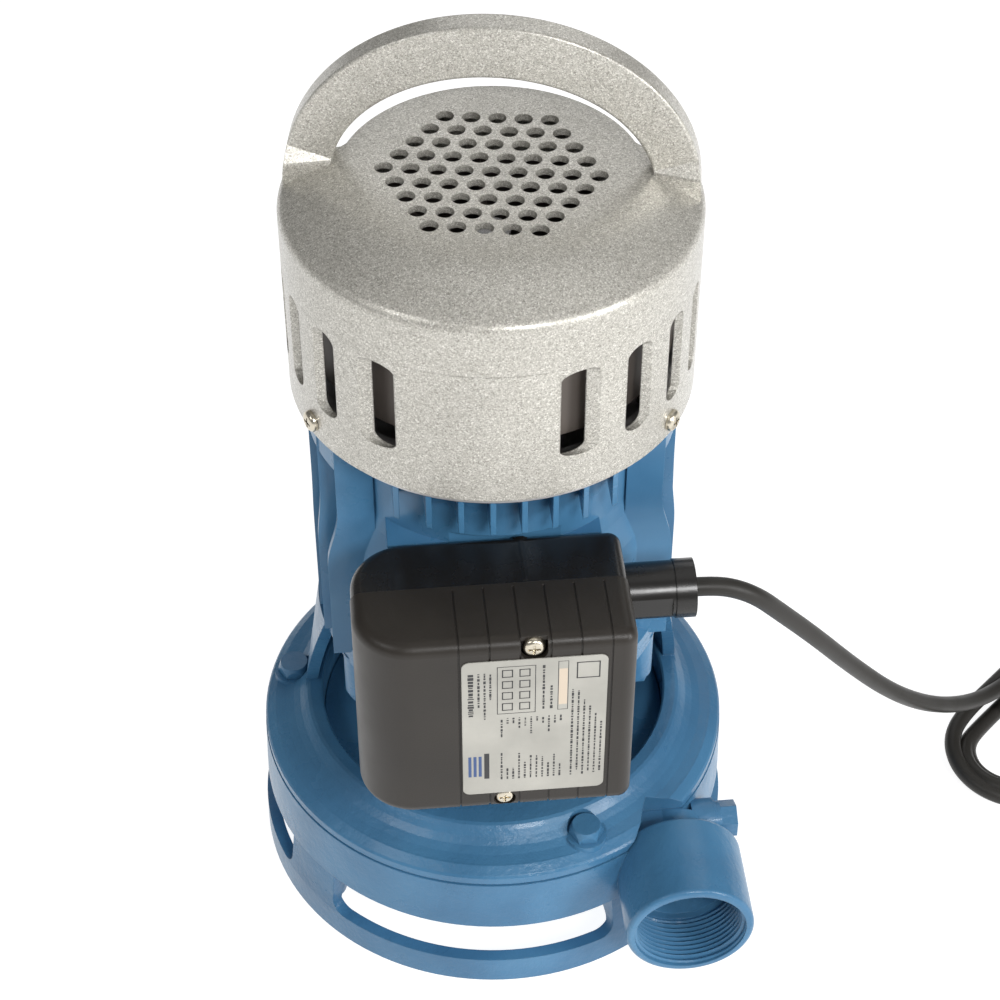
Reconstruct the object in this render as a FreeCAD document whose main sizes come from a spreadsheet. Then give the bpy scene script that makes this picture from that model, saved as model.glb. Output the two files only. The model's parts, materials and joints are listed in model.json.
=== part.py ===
import FreeCAD, Part
import math
import os
import re
import Sketcher
from FreeCAD import Placement, Rotation, Vector

# Vertical centrifugal water pump: a volute casing on a foot ring, a lantern bracket, a finned
# induction motor with a terminal box, and a fan cover with a carrying handle.
#
# Frame: +Z up along the shaft, origin where the shaft's axis meets the surface the pump stands on.
# The front, with the terminal box and the outlet, faces -Y. Lengths are millimetres.
# An azimuth is in degrees about +Z: 0 faces the front, and 90 faces +X.

SIZES = {
    # foot ring
    "foot_radius": 105.7, "foot_top_radius": 102.9, "foot_bore": 100.0, "foot_band": 14.0,
    "foot_pad_radius": 8.0, "foot_screw_circle": 95.0, "foot_screw_radius": 3.0,
    "window_corner": 7.0,
    # volute casing
    "casing_bottom": 36.0, "casing_top": 63.0, "casing_radius": 103.7, "casing_top_radius": 102.8,
    "chamber_floor": 41.0, "chamber_roof": 59.0, "tongue_radius": 64.5, "volute_radius": 82.3,
    "port_thread_radius": 23.9, "port_radius": 27.4, "port_bore": 20.0, "port_thread_length": 25.0,
    "outlet_offset": 73.3, "outlet_level": 48.0, "outlet_face": 122.6, "outlet_shoulder": 82.0,
    "outlet_neck_radius": 15.9, "neck_start": 68.0, "suction_face": 12.0, "suction_radius": 30.0,
    "bolt_circle": 91.0, "bolt_radius": 4.0, "bolt_flats": 13.0, "bolt_head": 5.3,
    "gasket_thickness": 1.0, "seal_plate_radius": 84.0, "seal_plate_thickness": 6.0,
    "plug_flats": 14.0, "plug_level": 52.0, "plug_place": 66.0, "plug_seat_end": 18.0,
    # impeller and seal
    "impeller_radius": 62.0, "impeller_bottom": 42.5, "impeller_top": 57.5, "eye_radius": 19.0,
    "seal_bore": 17.0, "seal_hub_radius": 24.0, "seal_hub_top": 82.0,
    # lantern bracket
    "flange_radius": 102.5, "flange_chamfer_level": 67.6, "flange_line": 98.0, "bead_level": 80.0,
    "bead_bore": 76.3, "front_land": 64.0, "lantern_radius": 84.0, "lantern_top_radius": 75.0,
    "lantern_wall": 5.4, "opening_back": 7.6,
    "motor_seat": 143.0, "motor_flange": 6.0, "motor_flange_radius": 73.3, "lug_drop": 21.0,
    "lug_circle": 68.0, "lug_screw_radius": 2.5,
    # motor
    "housing_radius": 62.0, "housing_bore": 56.0, "housing_top": 262.0, "housing_swell": 67.5,
    "swell_bottom": 196.0, "swell_top": 223.0, "fin_radius": 74.4, "web_bottom": 247.0,
    "fin_thickness": 2.2, "ridge_thickness": 3.6, "fin_pitch": 12.0,
    "ridge_pitch": 14.6, "front_fin_bottom": 243.0, "rear_fin_bottom": 158.0,
    "stack_bottom": 172.0, "stack_top": 226.0, "stator_bore": 31.0, "rotor_radius": 30.5,
    "slot_ring": 45.0, "winding_height": 17.0,
    "lower_bearing_radius": 23.5, "lower_bearing_bore": 10.0, "lower_bearing_width": 14.0,
    "upper_bearing_radius": 20.0, "upper_bearing_bore": 8.5, "upper_bearing_width": 12.0,
    "shield_radius": 76.8, "shield_top": 281.0, "shield_level": 262.0, "shield_screw_circle": 66.0,
    # fan and cover
    "fan_bottom": 287.0, "fan_top": 322.0, "fan_radius": 71.0, "fan_bore": 7.5,
    "cover_radius": 80.0, "cover_wall": 3.0, "cover_rim": 266.0, "cover_top": 358.3,
    "cover_disc_radius": 63.0, "cover_edge": 347.6, "cover_corner": 5.0, "cover_dome": 52.0,
    "cover_turn": 9.0, "recess_radius": 57.8, "recess_floor": 332.0,
    "slot_bottom": 283.5, "slot_top": 324.0, "slot_rounding": 0.47,
    "hole_pitch": 10.0, "hole_radius": 3.45,
    "cover_screw_level": 272.7, "cover_screw_radius": 4.3,
    "handle_centre": 350.0, "handle_span": 78.0, "handle_rise": 67.4,
    "handle_inner_span": 60.5, "handle_inner_rise": 46.3,
    "handle_front": 3.5, "handle_thickness": 10.5, "handle_edge": 1.2, "handle_root": 338.0,
    "foot_front": 1.8, "foot_level": 360.0, "foot_rise": 5.5,
    # terminal box
    "box_left": 62.0, "box_right": 45.0, "box_bottom": 133.5, "box_top": 229.0,
    "box_front": 118.0, "box_parting": 86.0, "box_rear": 59.0, "box_wall": 2.5,
    "box_bulge": 22.0, "box_rear_bulge": 22.0, "box_corner": 5.5, "box_edge": 5.0,
    "line_pitch": 11.6, "line_start": 23.0, "line_width": 0.7,
    "label_left": 22.1, "label_right": 33.4, "label_bottom": 144.2, "label_top": 220.4,
    "label_thickness": 0.4, "label_corner": 3.0,
    "capacitor_radius": 17.5, "capacitor_height": 68.0,
    # cable gland and cord
    "gland_offset": 70.0, "gland_level": 203.5, "gland_radius": 11.3, "gland_nut_end": 73.5,
    "cord_radius": 3.85, "cord_lift": 1.2, "hank_length": 100.0, "hank_radius": 34.0,
    "hank_hole": 12.0, "hank_height": 19.0, "tie_width": 12.0, "tie_thickness": 1.2,
    "plug_radius": 18.5, "plug_length": 36.0, "pin_radius": 2.4, "pin_length": 19.0,
}

FOOT_PILLARS = (-56.3, 33.7, 123.7, 213.7)
WINDOW_SWEEP = 73.0
BOLT_AZIMUTHS = (20.8, 142.0, 257.0)
LUG_AZIMUTHS = (-62.0, 62.0, 118.0, 242.0)
COVER_SCREW_AZIMUTHS = (-63.6, 53.5, 116.4, 233.5)
SLOT_CENTRES = (-70.3, -54.6, -36.5, -18.3, 0.0, 18.3, 36.5, 54.6, 70.3)
SLOT_WIDTHS = (7.5, 9.3, 9.3, 9.3, 9.3, 9.3, 9.3, 9.3, 7.5)
GRILLE_ROWS = (5, 6, 7, 8, 9, 8, 7, 6, 5)
LINE_COUNT = 6
STATOR_SLOTS = 24
FAN_BLADES = 8
IMPELLER_VANES = 6
WINDOW_LEAN = 22.3          # slope of the lantern's front opening, from the vertical
RIDGE_REACH = (69.8, 73.1, 74.4, 74.4, 73.1, 69.8)      # from the middle plane to each ridge's lower edge
BOLT_SEAT = 73.5
BOX_SCREWS = ((5.5, 224.0), (-5.5, 140.0))
BOX_MOUNTS = ((-28, 168), (24, 168), (-28, 212), (24, 212))
TERMINALS = 4

UPRIGHT = Rotation()
FORWARD = Rotation(Vector(1, 0, 0), 90)     # local Z points along -Y
SIDEWAYS = Rotation(Vector(0, 1, 0), 90)    # local Z points along +X

doc = FreeCAD.newDocument("centrifugal_pump")
sheet = doc.addObject("Spreadsheet::Sheet", "sizes")
for row, (alias, number) in enumerate(SIZES.items(), start=1):
    sheet.set("A%d" % row, alias)
    sheet.set("B%d" % row, str(number))
    sheet.setAlias("B%d" % row, alias)
doc.recompute()

nodes = []


# --- helpers: expressions, primitives, booleans -------------------------------------------------

def linked(expression):
    """The expression with each size's name pointing at its cell."""
    return re.sub(r"[a-z]\w*", lambda word: "sizes." + word[0] if word[0] in SIZES else word[0],
                  str(expression))


def amount(expression):
    return float(sheet.evalExpression(linked(expression)))


def bind(item, prop, expression):
    item.setExpression(prop, linked(expression))


def put(item, at, turn=UPRIGHT):
    """Turn the item, and bind its position to the sheet."""
    item.Placement = Placement(Vector(), turn)
    for axis, expression in zip("xyz", at):
        if expression != 0:
            bind(item, "Placement.Base." + axis, expression)
    return item


def around(radius, azimuth, level):
    """The position at a radius and azimuth."""
    return ("(%s) * sin(%g deg)" % (radius, azimuth), "-(%s) * cos(%g deg)" % (radius, azimuth), level)


def outward(azimuth):
    """The rotation that points local Z away from the shaft at an azimuth."""
    return Rotation(Vector(0, 0, 1), azimuth) * FORWARD


def cylinder(name, radius, height, at=(0, 0, 0), turn=UPRIGHT):
    item = doc.addObject("Part::Cylinder", name)
    bind(item, "Radius", radius)
    bind(item, "Height", height)
    return put(item, at, turn)


def cone(name, start_radius, end_radius, height, at=(0, 0, 0), turn=UPRIGHT):
    item = doc.addObject("Part::Cone", name)
    bind(item, "Radius1", start_radius)
    bind(item, "Radius2", end_radius)
    bind(item, "Height", height)
    return put(item, at, turn)


def block(name, low, high, turn=UPRIGHT):
    """A box between two corners."""
    item = doc.addObject("Part::Box", name)
    for prop, start, end in zip(("Length", "Width", "Height"), low, high):
        bind(item, prop, "(%s) - (%s)" % (end, start))
    return put(item, low, turn)


def sphere(name, radius, at):
    item = doc.addObject("Part::Sphere", name)
    bind(item, "Radius", radius)
    return put(item, at)


def hexagon(name, across_flats, height, at=(0, 0, 0), turn=UPRIGHT):
    item = doc.addObject("Part::Prism", name)
    item.Polygon = 6
    bind(item, "Circumradius", "(%s) / sqrt(3)" % across_flats)
    bind(item, "Height", height)
    return put(item, at, turn)


def fused(name, pieces):
    item = doc.addObject("Part::MultiFuse", name)
    item.Shapes = pieces
    item.Refine = True
    return item


def group(name, pieces):
    item = doc.addObject("Part::Compound", name)
    item.Links = pieces
    return item


def cut(name, base, tools):
    item = doc.addObject("Part::Cut", name)
    item.Base = base
    item.Tool = tools[0] if len(tools) == 1 else fused(name + "_tools", tools)
    return item


def common(name, pieces):
    item = doc.addObject("Part::MultiCommon", name)
    item.Shapes = pieces
    return item


def turned(name, outline):
    """A PartDesign body of revolution about Z, from (radius, level) corners on the sheet."""
    body = doc.addObject("PartDesign::Body", name)
    plane = [item for item in body.Origin.OriginFeatures if item.Role == "XZ_Plane"][0]
    sketch = body.newObject("Sketcher::SketchObject", name + "_outline")
    sketch.AttachmentSupport = [(plane, "")]
    sketch.MapMode = "FlatFace"
    corners = [Vector(amount(radius), amount(level), 0) for radius, level in outline]
    count = len(corners)
    for index in range(count):
        sketch.addGeometry(Part.LineSegment(corners[index], corners[(index + 1) % count]), False)
    for index in range(count):
        sketch.addConstraint(Sketcher.Constraint("Coincident", index, 2, (index + 1) % count, 1))
    for index, (corner, sizes_here) in enumerate(zip(corners, outline)):
        for kind, number, expression, axis in (("DistanceX", corner.x, sizes_here[0], -2),
                                               ("DistanceY", corner.y, sizes_here[1], -1)):
            if abs(number) < 1e-9:
                sketch.addConstraint(Sketcher.Constraint("PointOnObject", index, 1, axis))
            else:
                place = sketch.addConstraint(Sketcher.Constraint(kind, -1, 1, index, 1, number))
                bind(sketch, "Constraints[%d]" % place, expression)
    turning = body.newObject("PartDesign::Revolution", name + "_turning")
    turning.Profile = sketch
    turning.ReferenceAxis = (sketch, ["V_Axis"])
    turning.Angle = 360
    sketch.Visibility = False
    return body


def tube(name, bore, radius, bottom, top):
    return turned(name, [(bore, bottom), (radius, bottom), (radius, top), (bore, top)])


def rounded(name, base, radius, wanted):
    """A fillet on the edges that the test accepts."""
    doc.recompute()
    size = amount(radius)
    item = doc.addObject("Part::Fillet", name)
    item.Base = base
    item.Edges = [(number, size, size) for number, edge in enumerate(base.Shape.Edges, start=1)
                  if wanted(edge)]
    return item


def runs_along(edge, axis):
    if edge.Curve.TypeId != "Part::GeomLine":
        return False
    return abs(abs((edge.lastVertex().Point - edge.firstVertex().Point).normalize().dot(axis)) - 1) < 1e-6


def is_ring(edge, radius, level):
    """Whether the edge is part of a circle about Z with this radius and level."""
    if edge.Curve.TypeId != "Part::GeomCircle":
        return False
    close = abs(edge.Curve.Radius - amount(radius)) < 0.05
    return close and abs(edge.Curve.Center.z - amount(level)) < 0.05


def keep(item, node):
    """Make the item a sub-part, and its label the node's name."""
    item.Label = node
    nodes.append(item)


# --- pump: foot ring, casing, impeller and seal ---------------------------------------------------

def outlet_clearance(name, radius):
    return cylinder(name, radius, 60, ("outlet_offset", "-68", "outlet_level"), FORWARD)


def make_foot_ring():
    """A ring to stand on, with four windows and a screw pad behind each pillar."""
    wall = turned("foot_wall", [("foot_bore", 0), ("foot_radius", 0),
                                ("foot_radius - 0.3", "foot_band"),
                                ("foot_top_radius", "casing_bottom"),
                                ("foot_bore - 4", "casing_bottom"), ("foot_bore - 4", 24),
                                ("foot_bore", "foot_band + 4")])
    windows = []
    for number, pillar in enumerate(FOOT_PILLARS):
        window = cylinder("foot_window_%d" % number, "foot_radius + 20", "casing_bottom - foot_band + 1",
                          (0, 0, "foot_band"), Rotation(Vector(0, 0, 1), pillar + 45 - WINDOW_SWEEP / 2 - 90))
        window.Angle = WINDOW_SWEEP
        windows.append(rounded("foot_window_%d_rounded" % number, window, "window_corner",
                               lambda edge: edge.Curve.TypeId == "Part::GeomLine"
                               and edge.BoundBox.ZMax < amount("foot_band") + 1))
    opened = cut("foot_opened", wall, windows)
    pads = [cylinder("foot_pad_%d" % number, "foot_pad_radius", "casing_bottom - 8",
                     around("foot_screw_circle", pillar, 8)) for number, pillar in enumerate(FOOT_PILLARS)]
    holes = [cylinder("foot_hole_%d" % number, "foot_screw_radius + 0.3", "casing_bottom",
                      around("foot_screw_circle", pillar, 4)) for number, pillar in enumerate(FOOT_PILLARS)]
    solid = fused("foot_solid", [opened] + pads)
    keep(cut("foot_finished", solid, holes + [outlet_clearance("foot_outlet_gap", "port_radius + 0.8")]),
         "base_ring")
    screws = []
    for number, pillar in enumerate(FOOT_PILLARS):
        head = cylinder("foot_screw_head_%d" % number, "foot_screw_radius * 1.67", 5,
                        around("foot_screw_circle", pillar, 3))
        shank = cylinder("foot_screw_shank_%d" % number, "foot_screw_radius", "casing_bottom + 3",
                         around("foot_screw_circle", pillar, 8))
        socket = hexagon("foot_screw_socket_%d" % number, 5, 3, around("foot_screw_circle", pillar, 2))
        screws.append(cut("foot_screw_%d" % number,
                          fused("foot_screw_blank_%d" % number, [head, shank]), [socket]))
    keep(group("foot_screws", screws), "base_ring_screws")


def spiral_chamber():
    """The water's way round the impeller: a spiral that widens clockwise, seen from above."""
    tongue = amount("tongue_radius")
    growth = amount("volute_radius") - tongue
    steps = 24
    points = []
    for step in range(steps + 1):
        turn = 2 * math.pi * step / steps
        radius = tongue + growth * step / steps
        points.append(Vector(radius * math.cos(turn), -radius * math.sin(turn), 0))
    spiral = Part.BSplineCurve()
    spiral.interpolate(points)
    wire = Part.Wire([spiral.toShape(), Part.LineSegment(points[-1], points[0]).toShape()])
    chamber = doc.addObject("Part::Feature", "volute_chamber")
    chamber.Shape = Part.Face(wire).extrude(Vector(0, 0, amount("chamber_roof - chamber_floor")))
    chamber.Placement = Placement(Vector(0, 0, amount("chamber_floor")), UPRIGHT)
    return chamber


def make_casing():
    drum = turned("casing_drum", [(0, "casing_bottom"), ("casing_radius", "casing_bottom"),
                                  ("casing_top_radius", "casing_top"), (0, "casing_top")])
    port = cylinder("outlet_port", "port_radius", "outlet_face - outlet_shoulder",
                    ("outlet_offset", "-outlet_shoulder", "outlet_level"), FORWARD)
    port_rim = rounded("outlet_port_rounded", port, 2,
                       lambda edge: edge.Curve.TypeId == "Part::GeomCircle")
    neck = cylinder("outlet_neck", "outlet_neck_radius", "outlet_shoulder - neck_start + 6",
                    ("outlet_offset", "-neck_start", "outlet_level"), FORWARD)
    flare = cone("outlet_flare", "outlet_neck_radius", "port_radius - 3", 6,
                 ("outlet_offset", "-outlet_shoulder + 5", "outlet_level"), FORWARD)
    plug_seat = cylinder("priming_seat", 9.5, "plug_seat_end - 8",
                         ("outlet_offset + 8", "-plug_place", "plug_level"), SIDEWAYS)
    suction = cylinder("suction_port", "suction_radius", "chamber_floor - suction_face",
                       (0, 0, "suction_face"))
    solid = fused("casing_solid", [drum, port_rim, neck, flare, plug_seat, suction])
    throat = cone("outlet_throat", 8.5, 13.3, 88, ("outlet_offset", 10, "outlet_level"), FORWARD)
    diffuser = cone("outlet_diffuser", 13.3, "port_bore", 20.6,
                    ("outlet_offset", -77, "outlet_level"), FORWARD)
    outlet = cylinder("outlet_thread_bore", "port_thread_radius", "port_thread_length + 1",
                      ("outlet_offset", "-outlet_face + port_thread_length", "outlet_level"), FORWARD)
    inlet = cylinder("suction_thread_bore", "port_thread_radius", "port_thread_length - 5",
                     (0, 0, "suction_face - 1"))
    eye = cylinder("suction_bore", "port_bore", "chamber_floor - suction_face",
                   (0, 0, "suction_face + 10"))
    recess = cylinder("seal_plate_recess", "seal_plate_radius + 0.1",
                      "casing_top - chamber_roof + 1", (0, 0, "chamber_roof"))
    plug_hole = cylinder("priming_hole", 5, 30, ("outlet_offset + 2", "-plug_place", "plug_level"), SIDEWAYS)
    tappings = [cylinder("casing_tapping_%d" % number, "bolt_radius", 20,
                         around("bolt_circle", azimuth, "casing_top - 19"))
                for number, azimuth in enumerate(BOLT_AZIMUTHS)]
    sockets = [cylinder("foot_tapping_%d" % number, "foot_screw_radius", 12,
                        around("foot_screw_circle", azimuth, "casing_bottom - 1"))
               for number, azimuth in enumerate(FOOT_PILLARS)]
    keep(cut("casing_finished", solid, [spiral_chamber(), throat, diffuser, outlet, inlet, eye, recess,
                                        plug_hole] + tappings + sockets), "volute_casing")
    gasket = tube("casing_gasket_ring", "seal_plate_radius + 0.4", "casing_top_radius - 1.5",
                  "casing_top", "casing_top + gasket_thickness")
    holes = [cylinder("gasket_hole_%d" % number, "bolt_radius + 0.3", 6,
                      around("bolt_circle", azimuth, "casing_top - 2"))
             for number, azimuth in enumerate(BOLT_AZIMUTHS)]
    notch = outlet_clearance("gasket_outlet_gap", "port_radius + 0.8")
    keep(cut("gasket_finished", gasket, holes + [notch]), "casing_gasket")


def make_priming_plug():
    """The hexagon plug on the outlet's side, with the pieces stacked outward from its seat."""
    def stacked(start):
        return ("outlet_offset + plug_seat_end + %g" % start, "-plug_place", "plug_level")

    shank = cylinder("priming_shank", 5, 8, stacked(-5.5), SIDEWAYS)
    collar = cylinder("priming_collar", "plug_flats * 0.56", 2, stacked(1), SIDEWAYS)
    head = hexagon("priming_head", "plug_flats", 7, stacked(3), SIDEWAYS)
    keep(fused("priming_plug_solid", [shank, collar, head]), "priming_plug")
    washer = cylinder("priming_washer_disc", "plug_flats * 0.6", 1, stacked(0), SIDEWAYS)
    bore = cylinder("priming_washer_bore", 5, 3, stacked(-1), SIDEWAYS)
    keep(cut("priming_washer_ring", washer, [bore]), "plug_washer")


def make_impeller():
    """A closed wheel with its eye underneath, keyed to the shaft and held by a nut."""
    hub = tube("impeller_hub", 7, 13, "impeller_bottom + 2", "impeller_top + 2")
    front = turned("impeller_front", [("eye_radius", "impeller_bottom - 4"),
                                      ("eye_radius + 0.6", "impeller_bottom - 4"),
                                      ("eye_radius + 0.6", "impeller_bottom - 0.9"),
                                      ("eye_radius + 3", "impeller_bottom"),
                                      ("impeller_radius", "impeller_bottom + 2"),
                                      ("impeller_radius", "impeller_bottom + 4"),
                                      ("eye_radius", "impeller_bottom + 2")])
    back = tube("impeller_back", 12, "impeller_radius", "impeller_top - 3", "impeller_top")
    vanes = []
    for number in range(IMPELLER_VANES):
        turn = math.radians(360.0 * number / IMPELLER_VANES)
        vanes.append(swept_vane("impeller_vane_%d" % number, turn))
    keep(fused("impeller_solid", [hub, front, back] + vanes), "impeller")
    nut = hexagon("impeller_nut_blank", 17, 7, (0, 0, "impeller_bottom - 5"))
    hole = cylinder("impeller_nut_bore", 5, 20, (0, 0, "impeller_bottom - 10"))
    keep(cut("impeller_nut_solid", nut, [hole]), "impeller_nut")


def swept_vane(name, turn):
    """One backward-curved vane, between two arcs from the eye to the rim."""
    inner = amount("eye_radius") + 3
    outer = amount("impeller_radius") - 0.5
    sweep = math.radians(55)

    def on_vane(radius, lag, shift):
        angle = turn + lag * sweep + shift / radius
        return Vector(radius * math.cos(angle), radius * math.sin(angle), 0)

    middle = 0.5 * (inner + outer)
    near = Part.Arc(on_vane(inner, 0, 0), on_vane(middle, 0.62, 0), on_vane(outer, 1, 0))
    far = Part.Arc(on_vane(outer, 1, 3), on_vane(middle, 0.62, 3), on_vane(inner, 0, 3))
    tip = Part.LineSegment(on_vane(outer, 1, 0), on_vane(outer, 1, 3))
    root = Part.LineSegment(on_vane(inner, 0, 3), on_vane(inner, 0, 0))
    vane = doc.addObject("Part::Feature", name)
    outline = Part.Wire([near.toShape(), tip.toShape(), far.toShape(), root.toShape()])
    vane.Shape = Part.Face(outline).extrude(Vector(0, 0, amount("impeller_top - impeller_bottom - 4")))
    vane.Placement = Placement(Vector(0, 0, amount("impeller_bottom") + 2), UPRIGHT)
    return vane


def make_seal():
    """The plate that closes the casing, and the mechanical seal round the shaft."""
    plate = turned("seal_plate_turned", [("seal_bore", "chamber_roof"),
                                         ("seal_plate_radius", "chamber_roof"),
                                         ("seal_plate_radius", "casing_top + gasket_thickness"),
                                         ("bead_bore - 0.4", "casing_top + gasket_thickness"),
                                         ("bead_bore - 0.4", "chamber_roof + seal_plate_thickness + 1"),
                                         ("seal_hub_radius + 8", "chamber_roof + seal_plate_thickness"),
                                         ("seal_hub_radius", "chamber_roof + seal_plate_thickness + 6"),
                                         ("seal_hub_radius", "seal_hub_top"),
                                         (11, "seal_hub_top"), (11, "seal_hub_top - 3"),
                                         ("seal_bore", "seal_hub_top - 3")])
    keep(plate, "seal_plate")
    keep(tube("seal_seat_turned", 10.5, "seal_bore", "seal_hub_top - 10", "seal_hub_top - 3"), "seal_seat")
    keep(tube("seal_rotary_turned", 9, 14.5, "impeller_top + 8", "seal_hub_top - 10.3"), "seal_rotary")
    keep(tube("seal_spring_turned", 11, 14, "impeller_top + 2", "impeller_top + 8"), "seal_spring")
    keep(tube("slinger_turned", 9, 26, 108, 111), "water_slinger")


# --- lantern bracket --------------------------------------------------------------------------------

def make_bracket():
    flange = turned("bracket_flange", [("bead_bore", "casing_top + gasket_thickness"),
                                       ("flange_radius", "casing_top + gasket_thickness"),
                                       ("flange_radius", "flange_chamfer_level"),
                                       ("flange_radius - 0.8", "flange_chamfer_level + 1"),
                                       ("flange_line", "bead_level - 9"),
                                       ("flange_line - 0.8", "bead_level - 8.9"),
                                       ("flange_line - 4.8", "bead_level - 7.9"),
                                       ("flange_line - 8.3", "bead_level - 6.3"),
                                       ("flange_line - 11.3", "bead_level - 4.1"),
                                       ("flange_line - 13.4", "bead_level - 1.9"),
                                       ("flange_line - 14.8", "bead_level - 0.6"),
                                       ("flange_line - 16.2", "bead_level"),
                                       ("bead_bore + 0.8", "bead_level"), ("bead_bore", "bead_level - 0.8")])
    land = common("front_land_finished",
                  [block("front_land_block", (-45, -90, "bead_level - 6"), (45, "-front_land", "bead_level")),
                   cylinder("front_land_round", "bead_bore + 2", 20, (0, 0, "bead_level - 10"))])
    shell = turned("lantern_shell", [("bead_bore", "bead_level - 3"), ("lantern_radius", "bead_level - 3"),
                                     ("lantern_radius", "bead_level"),
                                     ("lantern_top_radius", "motor_seat"),
                                     ("lantern_top_radius - lantern_wall", "motor_seat"),
                                     ("lantern_radius - lantern_wall", "bead_level")])
    lean = Rotation(Vector(1, 0, 0), WINDOW_LEAN)
    reach = 130
    opening = block("lantern_opening", (-reach, 0, 0), (reach, reach, reach), lean)
    corner = lean.multVec(Vector(0, -reach, 0))
    put(opening, (-reach, "opening_back + %g" % corner.y, "bead_level + %g" % corner.z), lean)
    half_shell = cut("lantern_half", shell, [opening])
    head = turned("bracket_head", [(12, "motor_seat - lower_bearing_width - 3"),
                                   (31, "motor_seat - lower_bearing_width - 3"),
                                   (31, "motor_seat - motor_flange"),
                                   ("motor_flange_radius", "motor_seat - motor_flange"),
                                   ("motor_flange_radius", "motor_seat"),
                                   ("lower_bearing_radius", "motor_seat"),
                                   ("lower_bearing_radius", "motor_seat - lower_bearing_width"),
                                   (12, "motor_seat - lower_bearing_width")])
    lugs = [cylinder("lug_%d" % number, 7.2, "lug_drop + 2",
                     around("lug_circle - 1.5", azimuth, "motor_seat - motor_flange - lug_drop"))
            for number, azimuth in enumerate(LUG_AZIMUTHS)]
    bosses = [cylinder("bolt_boss_%d" % number, 9, BOLT_SEAT - 66, around("bolt_circle", azimuth, 66))
              for number, azimuth in enumerate(BOLT_AZIMUTHS)]
    solid = fused("bracket_solid", [flange, land, half_shell, head] + lugs + bosses)
    bolt_holes = [cylinder("bracket_bolt_hole_%d" % number, "bolt_radius + 0.3", 30,
                           around("bolt_circle", azimuth, 60))
                  for number, azimuth in enumerate(BOLT_AZIMUTHS)]
    spot_faces = [cylinder("bolt_spot_face_%d" % number, "bolt_flats * 0.62", 8,
                           around("bolt_circle", azimuth, BOLT_SEAT))
                  for number, azimuth in enumerate(BOLT_AZIMUTHS)]
    lug_holes = [cylinder("lug_hole_%d" % number, "lug_screw_radius + 0.2", 40,
                          around("lug_circle", azimuth, 110)) for number, azimuth in enumerate(LUG_AZIMUTHS)]
    flat = block("bracket_flat", (-80, -120, 130), (80, "-box_rear + 0.5", 150))
    keep(cut("bracket_finished", solid,
             bolt_holes + spot_faces + lug_holes
             + [flat, outlet_clearance("bracket_outlet_gap", "port_radius + 0.8")]),
         "motor_bracket")
    bolts = []
    for number, azimuth in enumerate(BOLT_AZIMUTHS):
        head_place = around("bolt_circle", azimuth, BOLT_SEAT)
        hex_head = hexagon("bolt_hex_%d" % number, "bolt_flats", "bolt_head", head_place)
        crown = cone("bolt_crown_%d" % number, "bolt_flats * 0.62", "bolt_flats * 0.46", "bolt_head",
                     around("bolt_circle", azimuth, BOLT_SEAT + 0.01))
        trimmed = common("bolt_head_%d" % number, [hex_head, crown])
        shank = cylinder("bolt_shank_%d" % number, "bolt_radius", 29,
                         around("bolt_circle", azimuth, BOLT_SEAT - 28.5))
        bolts.append(fused("bolt_%d" % number, [trimmed, shank]))
    keep(group("bolts", bolts), "bracket_bolts")
    screws = []
    for number, azimuth in enumerate(LUG_AZIMUTHS):
        head = hexagon("lug_screw_head_%d" % number, 8, 4,
                       around("lug_circle", azimuth, "motor_seat - motor_flange - lug_drop - 4"))
        shank = cylinder("lug_screw_shank_%d" % number, "lug_screw_radius", 34,
                         around("lug_circle", azimuth, "motor_seat - motor_flange - lug_drop - 0.5"))
        screws.append(fused("lug_screw_%d" % number, [head, shank]))
    keep(group("lug_screws", screws), "motor_screws")


# --- motor --------------------------------------------------------------------------------------------

def ridge(name, side, number, reach):
    """One upright ridge on the motor's side, whose edge steps out where the housing swells."""
    middle = amount("ridge_pitch") * (number - 2.5)
    width = amount("ridge_thickness")
    upper = math.sqrt(amount("fin_radius") ** 2 - middle ** 2)
    rise = amount("swell_top - swell_bottom")
    profile = [(50, amount("motor_seat + 2")), (reach, amount("motor_seat + 2"))]
    for step in range(7):
        share = step / 6
        ease = share * share * (3 - 2 * share)
        profile.append((reach + (upper - reach) * ease, amount("swell_bottom") + rise * share))
    profile += [(upper, amount("housing_top")), (50, amount("housing_top"))]
    corners = [Vector(side * across, middle - width / 2, level) for across, level in profile]
    form = doc.addObject("Part::Feature", name)
    form.Shape = Part.Face(Part.makePolygon(corners + corners[:1])).extrude(Vector(0, width, 0))
    return form


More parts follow.
